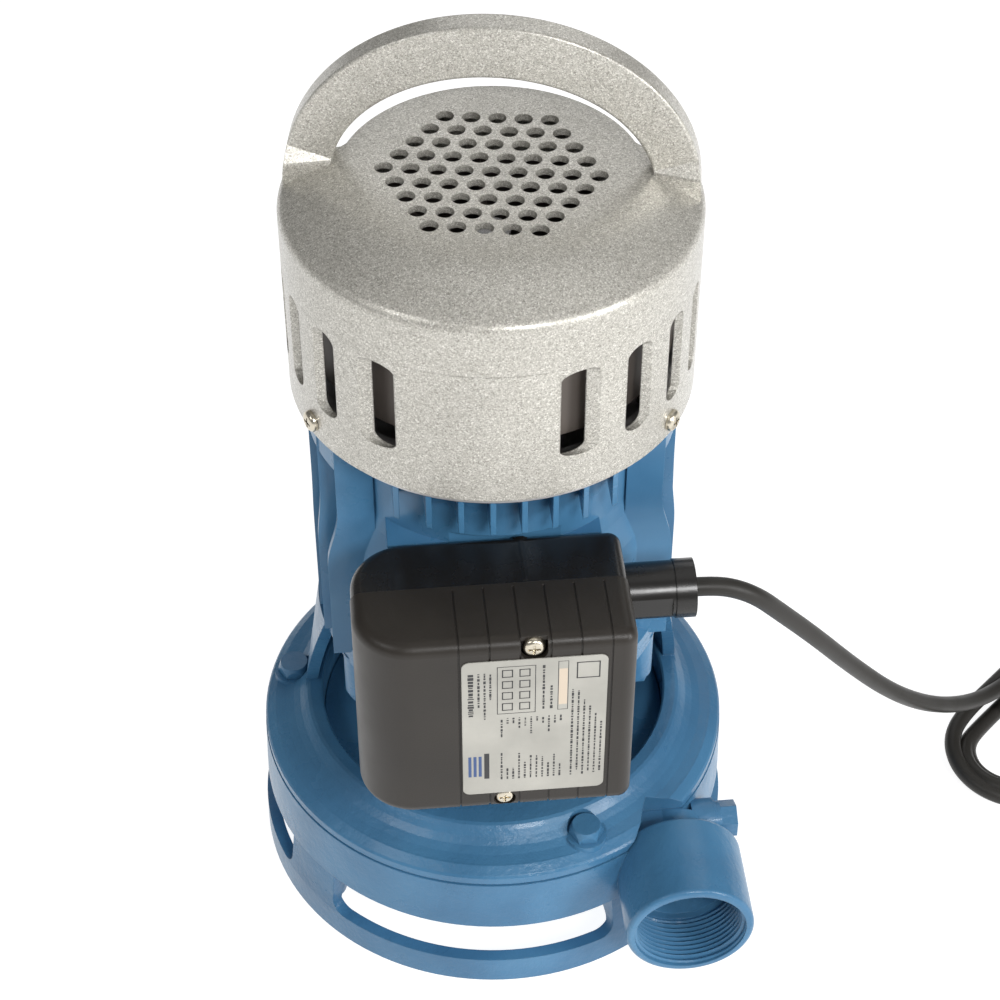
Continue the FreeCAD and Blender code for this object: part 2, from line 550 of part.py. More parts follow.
def make_housing():
    core = turned("housing_core", [("housing_bore", "motor_seat"), ("motor_flange_radius", "motor_seat"),
                                   ("motor_flange_radius", "motor_seat + 4"),
                                   ("housing_swell", "motor_seat + 7"), ("housing_swell", "swell_bottom"),
                                   ("housing_swell - 0.9", "swell_bottom + 7"),
                                   ("housing_radius + 0.9", "swell_top - 7"),
                                   ("housing_radius", "swell_top"), ("housing_radius", "housing_top"),
                                   ("housing_bore", "housing_top")])
    fins = []
    for number in range(4):
        for side in (-1, 1):
            middle = "%d * fin_pitch * (%d + 0.5)" % (side, number)
            low = "%s - fin_thickness / 2" % middle
            high = "%s + fin_thickness / 2" % middle
            name = "fin_%d_%s" % (number, "right" if side > 0 else "left")
            fins.append(block(name + "_front", (low, -90, "front_fin_bottom"), (high, -40, "housing_top")))
            fins.append(block(name + "_rear", (low, 40, "rear_fin_bottom"), (high, 90, "housing_top")))
    ridges = []
    webs = []
    for side, label in ((-1, "left"), (1, "right")):
        for number, reach in enumerate(RIDGE_REACH):
            ridges.append(ridge("ridge_%d_%s" % (number, label), side, number, reach))
        low = min(side * 50, side * 90)
        webs.append(block("web_" + label, (low, "-ridge_pitch * 2.5", "web_bottom"),
                          (low + 40, "ridge_pitch * 2.5", "housing_top")))
    envelope = tube("fin_envelope", "housing_bore + 1", "fin_radius", "motor_seat", "housing_top")
    trimmed_fins = common("fins_trimmed", [fused("fins_all", fins + webs), envelope])
    pad = block("box_pad", (-46, "-box_rear + 1", "box_bottom + 12"), (38, -30, "box_top - 4"))
    pillars = [cylinder("screw_pillar_%d" % number, 7.2, 30, around("lug_circle - 1.5", azimuth, "motor_seat"))
               for number, azimuth in enumerate(LUG_AZIMUTHS)]
    pillars += [cylinder("shield_pillar_%d" % number, 6.5, "housing_top - web_bottom",
                         around("shield_screw_circle", azimuth, "web_bottom"))
                for number, azimuth in enumerate(LUG_AZIMUTHS)]
    solid = fused("housing_solid", [core, trimmed_fins, pad] + ridges + pillars)
    bore = cylinder("housing_bore_tool", "housing_bore", 200, (0, 0, 100))
    flat = block("housing_flat", (-80, -120, 130), (80, "-box_rear + 1", "box_top + 1.5"))
    holes = [cylinder("housing_tapping_%d" % number, "lug_screw_radius", 26,
                      around("lug_circle", azimuth, "motor_seat - 1"))
             for number, azimuth in enumerate(LUG_AZIMUTHS)]
    holes += [cylinder("shield_tapped_hole_%d" % number, 2.55, 8,
                       around("shield_screw_circle", azimuth, "housing_top - 7"))
              for number, azimuth in enumerate(LUG_AZIMUTHS)]
    holes += [cylinder("box_tapped_hole_%d" % number, 1.55, 8.5, (x, -51.8, z), FORWARD)
              for number, (x, z) in enumerate(BOX_MOUNTS)]
    entry = cylinder("lead_entry", 7, 40, (0, -40, 186), FORWARD)
    keep(cut("housing_finished", solid, [bore, flat, entry] + holes), "motor_housing")


def make_stator():
    ring = tube("stator_ring", "stator_bore", "housing_bore", "stack_bottom", "stack_top")
    slots = []
    for number in range(STATOR_SLOTS):
        azimuth = 360.0 * number / STATOR_SLOTS
        slots.append(cylinder("stator_slot_%d" % number, 2.6, "stack_top - stack_bottom + 2",
                              around("stator_bore + 7", azimuth, "stack_bottom - 1")))
    keep(cut("stator_finished", ring, [group("stator_slots", slots)]), "stator_core")
    ends = []
    for name, bottom in (("lower", "stack_bottom - winding_height"), ("upper", "stack_top")):
        ring = tube("winding_%s_ring" % name, "stator_bore + 3", "slot_ring + 8",
                    bottom, bottom + " + winding_height")
        ends.append(rounded("winding_%s" % name, ring, 5,
                            lambda edge: edge.Curve.TypeId == "Part::GeomCircle"
                            and edge.Curve.Radius > amount("slot_ring")))
    keep(group("windings", ends), "stator_winding")


def make_rotor():
    core = tube("rotor_core_turned", 13, "rotor_radius", "stack_bottom", "stack_top")
    keep(core, "rotor_core")
    rings = [tube("cage_lower", 18, "rotor_radius", "stack_bottom - 7", "stack_bottom"),
             tube("cage_upper", 18, "rotor_radius", "stack_top", "stack_top + 7")]
    keep(group("cage_rings", rings), "rotor_cage")
    lower = "motor_seat - lower_bearing_width"
    upper = "shield_level - upper_bearing_width"
    keep(turned("shaft_turned", [(0, "impeller_bottom - 8"), (5, "impeller_bottom - 8"),
                                 (5, "impeller_bottom + 2"), (7, "impeller_bottom + 2"),
                                 (7, "impeller_top + 2"), (9, "impeller_top + 2"), (9, lower),
                                 ("lower_bearing_bore", lower), ("lower_bearing_bore", "motor_seat"),
                                 (12, "motor_seat"), (12, 164), (13, 164), (13, 234), (11, 234),
                                 (11, upper), ("upper_bearing_bore", upper),
                                 ("upper_bearing_bore", "shield_level"), ("fan_bore", "shield_level"),
                                 ("fan_bore", "fan_top + 10"), (0, "fan_top + 10")]), "shaft")


def make_bearing(place, bore, radius, bottom, width, balls):
    """Outer ring, inner ring and balls; the balls turn with the inner ring."""
    third = "(%s - %s) / 4" % (radius, bore)
    top = "%s + %s" % (bottom, width)
    outer = tube(place + "_outer_turned", "%s - %s" % (radius, third), radius, bottom, top)
    inner = tube(place + "_inner_turned", bore, "%s + %s" % (bore, third), bottom, top)
    keep(outer, place + "_bearing_outer")
    ring = []
    for number in range(balls):
        ring.append(sphere("%s_ball_%d" % (place, number), "%s - 0.35" % third,
                           around("(%s + %s) / 2 - 0.35" % (radius, bore), 360.0 * number / balls,
                                  "%s + (%s) / 2" % (bottom, width))))
    keep(inner, place + "_bearing_inner")
    keep(group(place + "_balls", ring), place + "_bearing_balls")


def make_shield():
    """The upper end shield, which carries the bearing and the fan cover."""
    shield = turned("shield_turned", [(11, "shield_level"), ("shield_radius", "shield_level"),
                                      ("shield_radius", "shield_top"),
                                      ("shield_radius - 5", "shield_top"),
                                      ("shield_radius - 5", "shield_level + 6"),
                                      (26, "shield_level + 6"), (26, "shield_level + 4"),
                                      (11, "shield_level + 4")])
    hub = tube("shield_hub", "upper_bearing_radius", 26, "shield_level - upper_bearing_width - 1",
               "shield_level + 1")
    tappings = [cylinder("shield_tapping_%d" % number, 1.85, 12,
                         around("shield_radius - 8", azimuth, "cover_screw_level"), outward(azimuth))
                for number, azimuth in enumerate(COVER_SCREW_AZIMUTHS)]
    holes = [cylinder("shield_hole_%d" % number, 2.7, 12,
                      around("shield_screw_circle", azimuth, "shield_level - 2"))
             for number, azimuth in enumerate(LUG_AZIMUTHS)]
    lip = tube("shield_lip", 18, 22, "shield_level", "shield_level + 3")
    keep(cut("shield_finished", fused("shield_solid", [shield, hub, lip]), tappings + holes),
         "upper_end_shield")
    screws = []
    for number, azimuth in enumerate(LUG_AZIMUTHS):
        head = hexagon("shield_screw_head_%d" % number, 8, 4,
                       around("shield_screw_circle", azimuth, "shield_level + 6"))
        shank = cylinder("shield_screw_shank_%d" % number, 2.5, 13,
                         around("shield_screw_circle", azimuth, "shield_level - 6.5"))
        screws.append(fused("shield_screw_%d" % number, [head, shank]))
    keep(group("shield_screws_group", screws), "shield_screws")


# --- fan, cover and handle ---------------------------------------------------------------------------

def make_fan():
    disc = tube("fan_disc", 12, "fan_radius", "fan_bottom", "fan_bottom + 2.5")
    rim = tube("fan_rim", "fan_radius - 2", "fan_radius", "fan_bottom", "fan_top")
    hub = tube("fan_hub", "fan_bore", 14, "fan_bottom", "fan_top - 4")
    blades = []
    for number in range(FAN_BLADES):
        turn = Rotation(Vector(0, 0, 1), 360.0 * number / FAN_BLADES)
        blade = block("fan_blade_%d" % number, (0, 0, 0), ("fan_radius - 14", 2.4, "fan_top - fan_bottom - 2"))
        place = turn.multVec(Vector(amount(13), -1.2, 0))
        put(blade, (place.x, place.y, "fan_bottom"), turn)
        blades.append(blade)
    keep(fused("fan_solid", [disc, rim, hub] + blades), "cooling_fan")
    keep(tube("fan_clip_turned", "fan_bore", 11, "fan_top - 4", "fan_top - 2.6"), "fan_clip")


def make_cover():
    """The silver cover: a slotted cylinder with a pierced domed top, an arched handle across it, and
    behind the handle a recess for the fingers."""
    swing = Rotation(Vector(0, 0, 1), -amount("cover_turn"))
    outside = turned("cover_outside", [(0, "cover_rim"), ("cover_radius", "cover_rim"),
                                       ("cover_radius", "cover_edge"),
                                       ("cover_disc_radius", "cover_top"), (0, "cover_top")])
    domed = rounded("cover_domed", outside, "cover_dome",
                    lambda edge: is_ring(edge, "cover_disc_radius", "cover_top"))
    smooth = rounded("cover_rounded", domed, "cover_corner",
                     lambda edge: is_ring(edge, "cover_radius", "cover_edge"))
    inside = turned("cover_inside", [(0, "cover_rim - 1"), ("cover_radius - cover_wall", "cover_rim - 1"),
                                     ("cover_radius - cover_wall", 342),
                                     ("cover_radius - cover_wall - 4.5", 347.5),
                                     ("cover_disc_radius - 1", 353), (48, "cover_top - cover_wall"),
                                     (0, "cover_top - cover_wall")])
    arch = make_arch(swing)
    slots = []
    for number, (middle, width) in enumerate(zip(SLOT_CENTRES, SLOT_WIDTHS)):
        slot = block("cover_slot_%d" % number, (-100, middle - width / 2, "slot_bottom"),
                     (100, middle + width / 2, "slot_top"))
        soft = rounded("cover_slot_%d_rounded" % number, slot, "slot_rounding * %g" % width,
                       lambda edge: runs_along(edge, Vector(1, 0, 0)))
        slots.append(soft)
    slot_group = group("cover_slots", slots)
    slot_group.Placement = Placement(Vector(), swing)
    holes = []
    middle_row = len(GRILLE_ROWS) // 2
    for row, count in enumerate(GRILLE_ROWS):
        for place in range(count):
            across = "hole_pitch * %g" % (place - (count - 1) / 2)
            along = "hole_pitch * %g * sqrt(3) / 2" % (row - middle_row)
            holes.append(cylinder("grille_hole_%d_%d" % (row, place), "hole_radius", 30,
                                  (across, along, "cover_top - 15")))
    hole_group = group("grille_holes", holes)
    hole_group.Placement = Placement(Vector(), swing)
    screw_holes = [cylinder("cover_screw_hole_%d" % number, 2.1, 20,
                            around("cover_radius - 12", azimuth, "cover_screw_level"), outward(azimuth))
                   for number, azimuth in enumerate(COVER_SCREW_AZIMUTHS)]
    shaped = cut("cover_recessed", fused("cover_solid", [smooth, arch]), [behind_handle(swing, "recess", 0)])
    cavity = cut("cover_cavity", inside, [behind_handle(swing, "recess_wall", amount("cover_wall"))])
    pierced = cut("cover_pierced", cut("cover_hollow", shaped, [cavity]),
                  [group("cover_openings", [slot_group, hole_group])])
    keep(cut("cover_finished", pierced, [group("cover_screw_holes", screw_holes)]), "fan_cover")
    keep(group("cover_screws", [pan_screw("cover_screw_%d" % number, "cover_screw_radius", 8.5,
                                          around("cover_radius + 0.02", azimuth, "cover_screw_level"),
                                          outward(azimuth))
                                for number, azimuth in enumerate(COVER_SCREW_AZIMUTHS)]),
         "fan_cover_screws")


def behind_handle(swing, name, wall):
    """The space behind the handle and outside the round middle of the top, grown by a wall."""
    space = block(name + "_space", (-100, "handle_front + handle_thickness - %g" % wall,
                                    "recess_floor - %g" % wall), (100, 100, 430))
    middle = cylinder(name + "_middle", "recess_radius - %g" % wall, 120, (0, 0, 320))
    finished = cut(name + "_form", space, [middle])
    finished.Placement = Placement(Vector(), swing)
    return finished


def half_ellipse(name, span, rise, front):
    """An upright elliptic block from a front plane back to the handle's rear face."""
    ellipse = doc.addObject("Part::Ellipse", name + "_ellipse")
    bind(ellipse, "MajorRadius", span)
    bind(ellipse, "MinorRadius", rise)
    put(ellipse, (0, "handle_front + handle_thickness", "handle_centre"), FORWARD)
    form = doc.addObject("Part::Extrusion", name + "_form")
    form.Base = ellipse
    form.DirMode = "Custom"
    form.Dir = Vector(0, -1, 0)
    form.Solid = True
    bind(form, "LengthFwd", "handle_front + handle_thickness - (%s)" % front)
    return form


def handle_foot(name, side):
    """A wedge that stands forward of the arch, and grows towards the cover's side."""
    rear = amount("handle_front + handle_thickness - 0.5")
    face = amount("handle_front")
    front = -amount("foot_front")
    bottom = amount("handle_root")
    level = amount("foot_level")
    peak = level + amount("foot_rise")
    sections = []
    for across, lip, top in ((side * amount("handle_span"), front, peak),
                             (side * amount("handle_inner_span - 0.5"), face - 0.6, level - 0.6)):
        crest = min(level, top)
        profile = [(rear, bottom), (lip, bottom), (lip, crest - 2), (lip + 0.3, crest - 1),
                   (lip + 0.9, crest - 0.3), (face + 0.5, top), (rear, top)]
        corners = [Vector(across, along, height) for along, height in profile]
        sections.append(Part.makePolygon(corners + corners[:1]))
    wedge = doc.addObject("Part::Feature", name)
    wedge.Shape = Part.makeLoft(sections, True, True)
    return wedge


def make_arch(swing):
    """The handle: the band between two half ellipses, with a wedge in front of each end."""
    outer = half_ellipse("handle_outer", "handle_span", "handle_rise", "handle_front")
    inner = half_ellipse("handle_inner", "handle_inner_span", "handle_inner_rise", "handle_front")
    arch = cut("handle_arch", outer, [inner])
    upper = block("handle_upper_half", (-90, -40, "handle_root"), (90, 60, 500))
    half = common("handle_half", [arch, upper])
    soft = rounded("handle_rounded", half, "handle_edge",
                   lambda edge: edge.Curve.TypeId == "Part::GeomEllipse"
                   and edge.BoundBox.YLength < 0.1)
    reach = half_ellipse("handle_reach", "handle_span - 0.1", "handle_rise - 0.1", -10)
    feet = [common("handle_foot_%s" % name, [handle_foot("handle_wedge_%s" % name, side), reach])
            for name, side in (("left", -1), ("right", 1))]
    handle = group("handle_pieces", [soft] + feet)
    handle.Placement = Placement(Vector(), swing)
    return fused("handle_all", [handle])


def pan_screw(name, radius, length, at, turn):
    """A pan-head screw with a cross recess, pointing its head along the turned Z."""
    head = cylinder(name + "_head", radius, 2.6)
    domed = rounded(name + "_dome", head, 1.9,
                    lambda edge: edge.Curve.TypeId == "Part::GeomCircle" and edge.BoundBox.ZMin > 1)
    shank = cylinder(name + "_shank", "(%s) * 0.42" % radius, length, (0, 0, "-(%s) + 0.5" % length))
    slots = [block("%s_cross_%d" % (name, number), (-2.3 if number else -0.45, -0.45 if number else -2.3, 1.3),
                   (2.3 if number else 0.45, 0.45 if number else 2.3, 4)) for number in (0, 1)]
    screw = cut(name, fused(name + "_blank", [domed, shank]), slots)
    return put(screw, at, turn)


# --- terminal box ---------------------------------------------------------------------------------------

def box_form(name, inset):
    """The whole box's outer form, set in on every side by the inset."""
    form = block(name, ("-box_left + %g" % inset, "-box_front + %g" % inset, "box_bottom + %g" % inset),
                 ("box_right - %g" % inset, "-box_rear - %g" % inset, "box_top - %g" % inset))
    upright = Vector(0, 0, 1)
    corners = (("bulge", "box_bulge", lambda point: point.x < 0 and point.y < -100),
               ("rear_bulge", "box_rear_bulge", lambda point: point.x < 0 and point.y > -100),
               ("right", "box_corner", lambda point: point.x > 0))
    for label, radius, wanted in corners:
        form = rounded("%s_%s" % (name, label), form, "%s - %g" % (radius, inset),
                       lambda edge: runs_along(edge, upright) and wanted(edge.CenterOfMass))
    front = amount("-box_front + %g" % inset)
    if inset < 1:
        form = rounded(name + "_edges", form, "box_edge - %g" % inset,
                       lambda edge: abs(edge.BoundBox.ZMax - edge.BoundBox.ZMin) < 0.01
                       and not (runs_along(edge, Vector(1, 0, 0)) and edge.BoundBox.YMin > -100)
                       or (edge.BoundBox.YMax < front + 0.1 and runs_along(edge, upright)))
    return form


def make_box():
    outer = box_form("box_outer", 0)
    slices = []
    for number in range(LINE_COUNT):
        middle = "-line_start + line_pitch * %d" % number
        slices.append(block("line_slice_%d" % number,
                            ("%s - line_width / 2" % middle, "-box_front - 1", "box_bottom - 1"),
                            ("%s + line_width / 2" % middle, "-box_parting - 2", "box_top + 1")))
    skin = cut("line_skin", box_form("line_blank", 0), [box_form("line_floor", 0.5)])
    lines = common("box_lines", [group("line_slices", slices), skin])
    cover_half = common("cover_half", [outer, block("cover_side", (-90, -140, 120),
                                                    (90, "-box_parting - 0.15", 260))])
    cavity = box_form("box_cavity", amount("box_wall"))
    notch_low = block("screw_notch", (0.4, -130, 223.5), (10.6, -114.6, 240))
    notch = cylinder("screw_notch_round", 5.1, 12, (5.5, -114.6, 224), FORWARD)
    lower_seat = cylinder("lower_screw_seat", 4.3, 12, (BOX_SCREWS[1][0], -115.2, BOX_SCREWS[1][1]), FORWARD)
    screw_holes = [cylinder("box_screw_hole_%d" % number, 2.1, 60, (place, -70, level), FORWARD)
                   for number, (place, level) in enumerate(BOX_SCREWS)]
    posts = [cylinder("box_screw_post_%d" % number, 4.8, 30, (place, -84, level), FORWARD)
             for number, (place, level) in enumerate(BOX_SCREWS)]
    inner_posts = common("cover_posts", [group("post_group", posts), cover_half])
    shell = fused("cover_shell", [cut("cover_hollowed", cover_half, [cavity]), inner_posts])
    keep(cut("cover_box_finished", shell, [lines, notch_low, notch, lower_seat] + screw_holes),
         "terminal_box_cover")
    base_half = common("base_half", [box_form("base_blank", 0.35),
                                     block("base_side", (-90, "-box_parting + 0.15", 120), (90, -40, 260))])
    base_shell = cut("base_hollowed", base_half, [box_form("base_cavity", amount("box_wall") + 0.3)])
    base_posts = [cylinder("base_post_%d" % number, 4.8, 24, (place, -61, level), FORWARD)
                  for number, (place, level) in enumerate(BOX_SCREWS)]
    gland_hole = cylinder("gland_hole", "gland_radius - 2.5", 20,
                          ("box_right - 10", "-gland_offset", "gland_level"), SIDEWAYS)
    lead_hole = cylinder("lead_hole", 7, 10, (0, -56, 186), FORWARD)
    mount_holes = [cylinder("mount_hole_%d" % number, 2.1, 10, (x, -56, z), FORWARD)
                   for number, (x, z) in enumerate(BOX_MOUNTS)]
    with_posts = fused("base_with_posts", [base_shell] + base_posts)
    tapped = [cylinder("base_tapping_%d" % number, 1.85, 22, (place, -64, level), FORWARD)
              for number, (place, level) in enumerate(BOX_SCREWS)]
    keep(cut("base_finished", with_posts, [gland_hole, lead_hole] + mount_holes + tapped),
         "terminal_box_base")
    gasket = block("box_gasket_blank", (-40, "-box_rear", 152), (34, "-box_rear + 1", 222))
    keep(cut("box_gasket_finished", gasket,
             [cylinder("gasket_lead_hole", 8, 10, (0, -54, 186), FORWARD)]
             + [cylinder("gasket_mount_hole_%d" % number, 2.1, 10, (x, -54, z), FORWARD)
                for number, (x, z) in enumerate(BOX_MOUNTS)]),
         "terminal_box_gasket")
    screws = [pan_screw("box_screw_%d" % number, radius, 43, (place, seat, level), FORWARD)
              for number, ((place, level), radius, seat) in enumerate(zip(BOX_SCREWS, (4.3, 3.9),
                                                                          (-114.6, -115.2)))]
    keep(group("box_screws", screws), "box_cover_screws")
    keep(group("mount_screws", [pan_screw("mount_screw_%d" % number, 3.6, 10, (x, -61.9, z), FORWARD)
                                for number, (x, z) in enumerate(BOX_MOUNTS)]), "box_mount_screws")
    plate = block("plate_blank", ("-label_left", "-box_front - label_thickness", "label_bottom"),
                  ("label_right", "-box_front", "label_top"))
    keep(rounded("plate_rounded", plate, "label_corner",
                 lambda edge: runs_along(edge, Vector(0, 1, 0))), "rating_plate")


def make_box_contents():
    can = cylinder("capacitor_can", "capacitor_radius", "capacitor_height", (-36, -93, 146))
    rim = rounded("capacitor_rounded", can, 2, lambda edge: edge.Curve.TypeId == "Part::GeomCircle")
    tabs = [block("capacitor_tab_%d" % number, (-36 + 7 * side - 3, -93.4, 213.5),
                  (-36 + 7 * side + 3, -92.6, 223)) for number, side in enumerate((-1, 1))]
    keep(fused("capacitor_solid", [rim] + tabs), "capacitor")
    clip_ring = tube("capacitor_clip_turned", "capacitor_radius + 0.1", "capacitor_radius + 1.3", 172, 186)
    put(clip_ring, (-36, -93, 0))
    tongue = block("capacitor_clip_tongue", (-37, -75.2, 174), (-28, -74, 184))
    foot = block("capacitor_clip_foot", (-29.2, -75.2, 174), (-28, "-box_rear - box_wall - 0.4", 184))
    keep(fused("capacitor_clip_solid", [clip_ring, tongue, foot]), "capacitor_clip")
    body = block("terminal_body", (-22, -76, 196), (19, "-box_rear - box_wall - 0.4", 216))
    middles = [-15 + 10 * number for number in range(TERMINALS)]
    ways = [block("terminal_way_%d" % number, (middle - 3, -78, 199), (middle + 3, -72, 213))
            for number, middle in enumerate(middles)]
    keep(cut("terminal_block_solid", body, ways), "terminal_block")
    screws = [cylinder("terminal_screw_%d_%d" % (number, row), 2.2, 3.9, (middle, -72.05, 202 + 8 * row),
                       FORWARD) for number, middle in enumerate(middles) for row in range(2)]
    keep(group("terminal_screw_group", screws), "terminal_screws")


def make_gland():
    """The cable gland on the box's right side: a body with flats, and its cap."""
    at = ("box_right", "-gland_offset", "gland_level")
    body = cylinder("gland_cylinder", "gland_radius", "65.4 - box_right", at, SIDEWAYS)
    spigot = cylinder("gland_spigot", "gland_radius - 2.6", 8,
                      ("box_right - 8", "-gland_offset", "gland_level"), SIDEWAYS)
    bore = cylinder("gland_bore", "cord_radius + 0.6", 60, ("box_right - 12", "-gland_offset", "gland_level"),
                    SIDEWAYS)
    flats = [block("gland_flat_%d" % number, ("box_right + 2", low, "gland_level - 20"),
                   (64, high, "gland_level + 20"))
             for number, (low, high) in enumerate((("-gland_offset - 20", "-gland_offset - gland_radius + 1"),
                                                   ("-gland_offset + gland_radius - 1", "-gland_offset + 20")))]
    keep(cut("gland_body_finished", fused("gland_body_solid", [body, spigot]), [bore] + flats),
         "cable_gland_body")
    cap = cylinder("gland_cap", "gland_radius + 0.5", "gland_nut_end - 65.4",
                   (65.4, "-gland_offset", "gland_level"), SIDEWAYS)
    mouth = cylinder("gland_mouth", "cord_radius + 0.9", 20, (60, "-gland_offset", "gland_level"), SIDEWAYS)
    keep(cut("gland_nut_finished", cap, [mouth]), "cable_gland_nut")
    ring = cylinder("gland_ring", "cord_radius + 0.6", 12, (54, "-gland_offset", "gland_level"), SIDEWAYS)
    ring_bore = cylinder("gland_ring_bore", "cord_radius", 30, (50, "-gland_offset", "gland_level"), SIDEWAYS)
    keep(cut("gland_seal_finished", ring, [ring_bore]), "gland_seal")


# --- supply cord ------------------------------------------------------------------------------------------

# The cord's stretch from the gland down to the hank.
CORD_ROUTE = ((45.0, -70.0, 203.5), (64.0, -70.0, 203.5), (82.5, -70.0, 203.5), (92.0, -70.0, 200.5),
              (101.0, -69.0, 193.8), (110.0, -65.5, 182.0), (128.0, -57.5, 157.5), (150.0, -45.0, 123.5),
              (174.0, -29.0, 87.0), (197.0, -12.5, 57.5), (219.0, 4.5, 35.0), (238.0, 20.0, 21.0),
              (256.0, 36.0, 13.5), (272.0, 50.5, 10.5))
HANK_START = Vector(247.0, -4.0, 0.0)       # centre of the hank's near bend
HANK_TURN = 42.0                            # the hank's direction on the floor, from +X
PLUG_ASIDE = -56.0                          # the plug's line, beside the hank


def on_hank(along, aside, level):
    """A point in the hank's own directions: along it, to its left, and up."""
    turn = Rotation(Vector(0, 0, 1), HANK_TURN)
    return HANK_START + turn.multVec(Vector(along, aside, level))


def rounded_path(route):
    """Straight runs joined by tangent arcs, each as large as its two runs allow."""
    points = [Vector(*point) for point in route]
    edges = []
    radii = []
    start = points[0]
    for before, corner, after in zip(points, points[1:], points[2:]):
        back = (before - corner).normalize()
        ahead = (after - corner).normalize()
        setback = 0.45 * min(before.distanceToPoint(corner), corner.distanceToPoint(after))
        turn = math.pi - back.getAngle(ahead)
        if turn < 1e-3:
            continue
        radius = setback / math.tan(turn / 2)
        radii.append(radius)
        entry = corner + back * setback
        leave = corner + ahead * setback
        bisector = (back + ahead).normalize()
        middle = corner + bisector * (radius / math.cos(turn / 2) - radius)
        edges.append(Part.LineSegment(start, entry).toShape())
        edges.append(Part.Arc(entry, middle, leave).toShape())
        start = leave
    edges.append(Part.LineSegment(start, points[-1]).toShape())
    return Part.Wire(edges), radii


def swept_tube(name, route):
    """A tube of the cord's radius along a route."""
    path, radii = rounded_path(route)
    spine = doc.addObject("Part::Feature", name + "_path")
    spine.Shape = path
    section = doc.addObject("Part::Circle", name + "_section")
    bind(section, "Radius", "cord_radius")
    first, second = Vector(*route[0]), Vector(*route[1])
    section.Placement = Placement(first, Rotation(Vector(0, 0, 1), second - first))
    tube_sweep = doc.addObject("Part::Sweep", name + "_sweep")
    tube_sweep.Sections = [section]
    tube_sweep.Spine = (spine, ["Edge%d" % (number + 1) for number in range(len(path.Edges))])
    tube_sweep.Solid = True
    tube_sweep.Frenet = False
    doc.recompute()
    ideal = math.pi * amount("cord_radius") ** 2 * path.Length
    print("%s: length %.1f, smallest radius %.1f, volume ratio %.4f"
          % (name, path.Length, min(radii), tube_sweep.Shape.Volume / ideal))
    return tube_sweep


def make_cord():
    keep(swept_tube("supply_tube", CORD_ROUTE), "power_cable")
    turn = Rotation(Vector(0, 0, 1), HANK_TURN)
    length = amount("hank_length")
    forms = []
    for name, radius, rise in (("outer", "hank_radius", "hank_height - cord_lift"),
                               ("hole", "hank_hole", "hank_height + 20")):
        level = "cord_lift" if name == "outer" else -5
        near = on_hank(0, 0, 0)
        far = on_hank(length, 0, 0)
        left = on_hank(0, -amount(radius), 0)
        bar = block("hank_%s_bar" % name, (0, 0, 0), (length, "2 * (%s)" % radius, rise), turn)
        put(bar, (left.x, left.y, level), turn)
        ends = [cylinder("hank_%s_near" % name, radius, rise, (near.x, near.y, level)),
                cylinder("hank_%s_far" % name, radius, rise, (far.x, far.y, level))]
        forms.append(fused("hank_%s" % name, [bar] + ends))
    ring = cut("hank_ring", forms[0], [forms[1]])
    soft = rounded("hank_soft", ring, 3.5, lambda edge: abs(edge.BoundBox.ZLength) < 0.01)
    keep(soft, "cable_hank")
    half = amount("hank_radius + tie_thickness")
    middle = length * 0.62
    corner = on_hank(middle, -half, 0)
    width = "2 * (hank_radius + tie_thickness)"
    band = block("tie_outer", (0, 0, 0), ("tie_width", width, "hank_height + tie_thickness"), turn)
    put(band, (corner.x, corner.y, 0), turn)
    inner_corner = on_hank(middle - 2, -amount("hank_radius + 0.05"), 0)
    hollow = block("tie_inner", (0, 0, 0), ("tie_width + 4", "2 * hank_radius + 0.1",
                                            "hank_height - cord_lift + 0.05"), turn)
    put(hollow, (inner_corner.x, inner_corner.y, "cord_lift - 0.02"), turn)
    keep(cut("tie_finished", band, [hollow]), "hank_tie")
    make_plug(turn)


def make_plug(turn):
    """A round two-pin plug lying beside the hank, with its pins towards the pump."""
    back = turn * Rotation(Vector(0, 1, 0), -90)        # local Z runs back along the hank
    entry = on_hank(62, PLUG_ASIDE, amount("plug_radius"))
    profile = turned("plug_turned", [("cord_radius", 0), ("cord_radius + 1.4", 0),
                                     ("cord_radius + 3.6", 17), ("plug_radius * 0.72", 20),
                                     ("plug_radius", 28), ("plug_radius", "20 + plug_length"),
                                     (0, "20 + plug_length"), (0, 18), ("cord_radius", 18)])
    put(profile, (entry.x, entry.y, entry.z), back)
    keep(profile, "mains_plug")
    pins = []
    for number, side in enumerate((-1, 1)):
        tip = on_hank(62 - 20 - amount("plug_length"), PLUG_ASIDE + 9.5 * side, amount("plug_radius"))
        pin = cylinder("plug_pin_blank_%d" % number, "pin_radius", "pin_length", (tip.x, tip.y, tip.z), back)
        pins.append(rounded("plug_pin_%d" % number, pin, 1.5,
                            lambda edge: edge.Curve.TypeId == "Part::GeomCircle"
                            and (edge.Curve.Center - tip).Length > 5))
    keep(group("plug_pin_group", pins), "plug_pins")
    lead = [on_hank(106, -24, 8), on_hank(95, -34, 7), on_hank(82, -46, 10), on_hank(70, -54.5, 16),
            on_hank(62, -56, 18.5), on_hank(50, -56, 18.5)]
    keep(swept_tube("plug_lead_tube", [tuple(point) for point in lead]), "plug_lead")


# --- building, checking and writing -------------------------------------------------------------------------

def check_and_write():
    doc.recompute()
    for item in doc.Objects:
        if "Invalid" in item.State or "Error" in item.State:
            raise RuntimeError("%s is in state %s" % (item.Name, item.State))
    os.makedirs("parts", exist_ok=True)
    for item in nodes:
        if item.Shape.isNull() or not item.Shape.isValid() or not item.Shape.Solids:
            raise RuntimeError("%s has no valid solid" % item.Label)
    for item in nodes:
        item.Shape.exportStep("parts/%s.step" % item.Label)
        print("%-22s %d solids, %.1f cm3" % (item.Label, len(item.Shape.Solids), item.Shape.Volume / 1000))


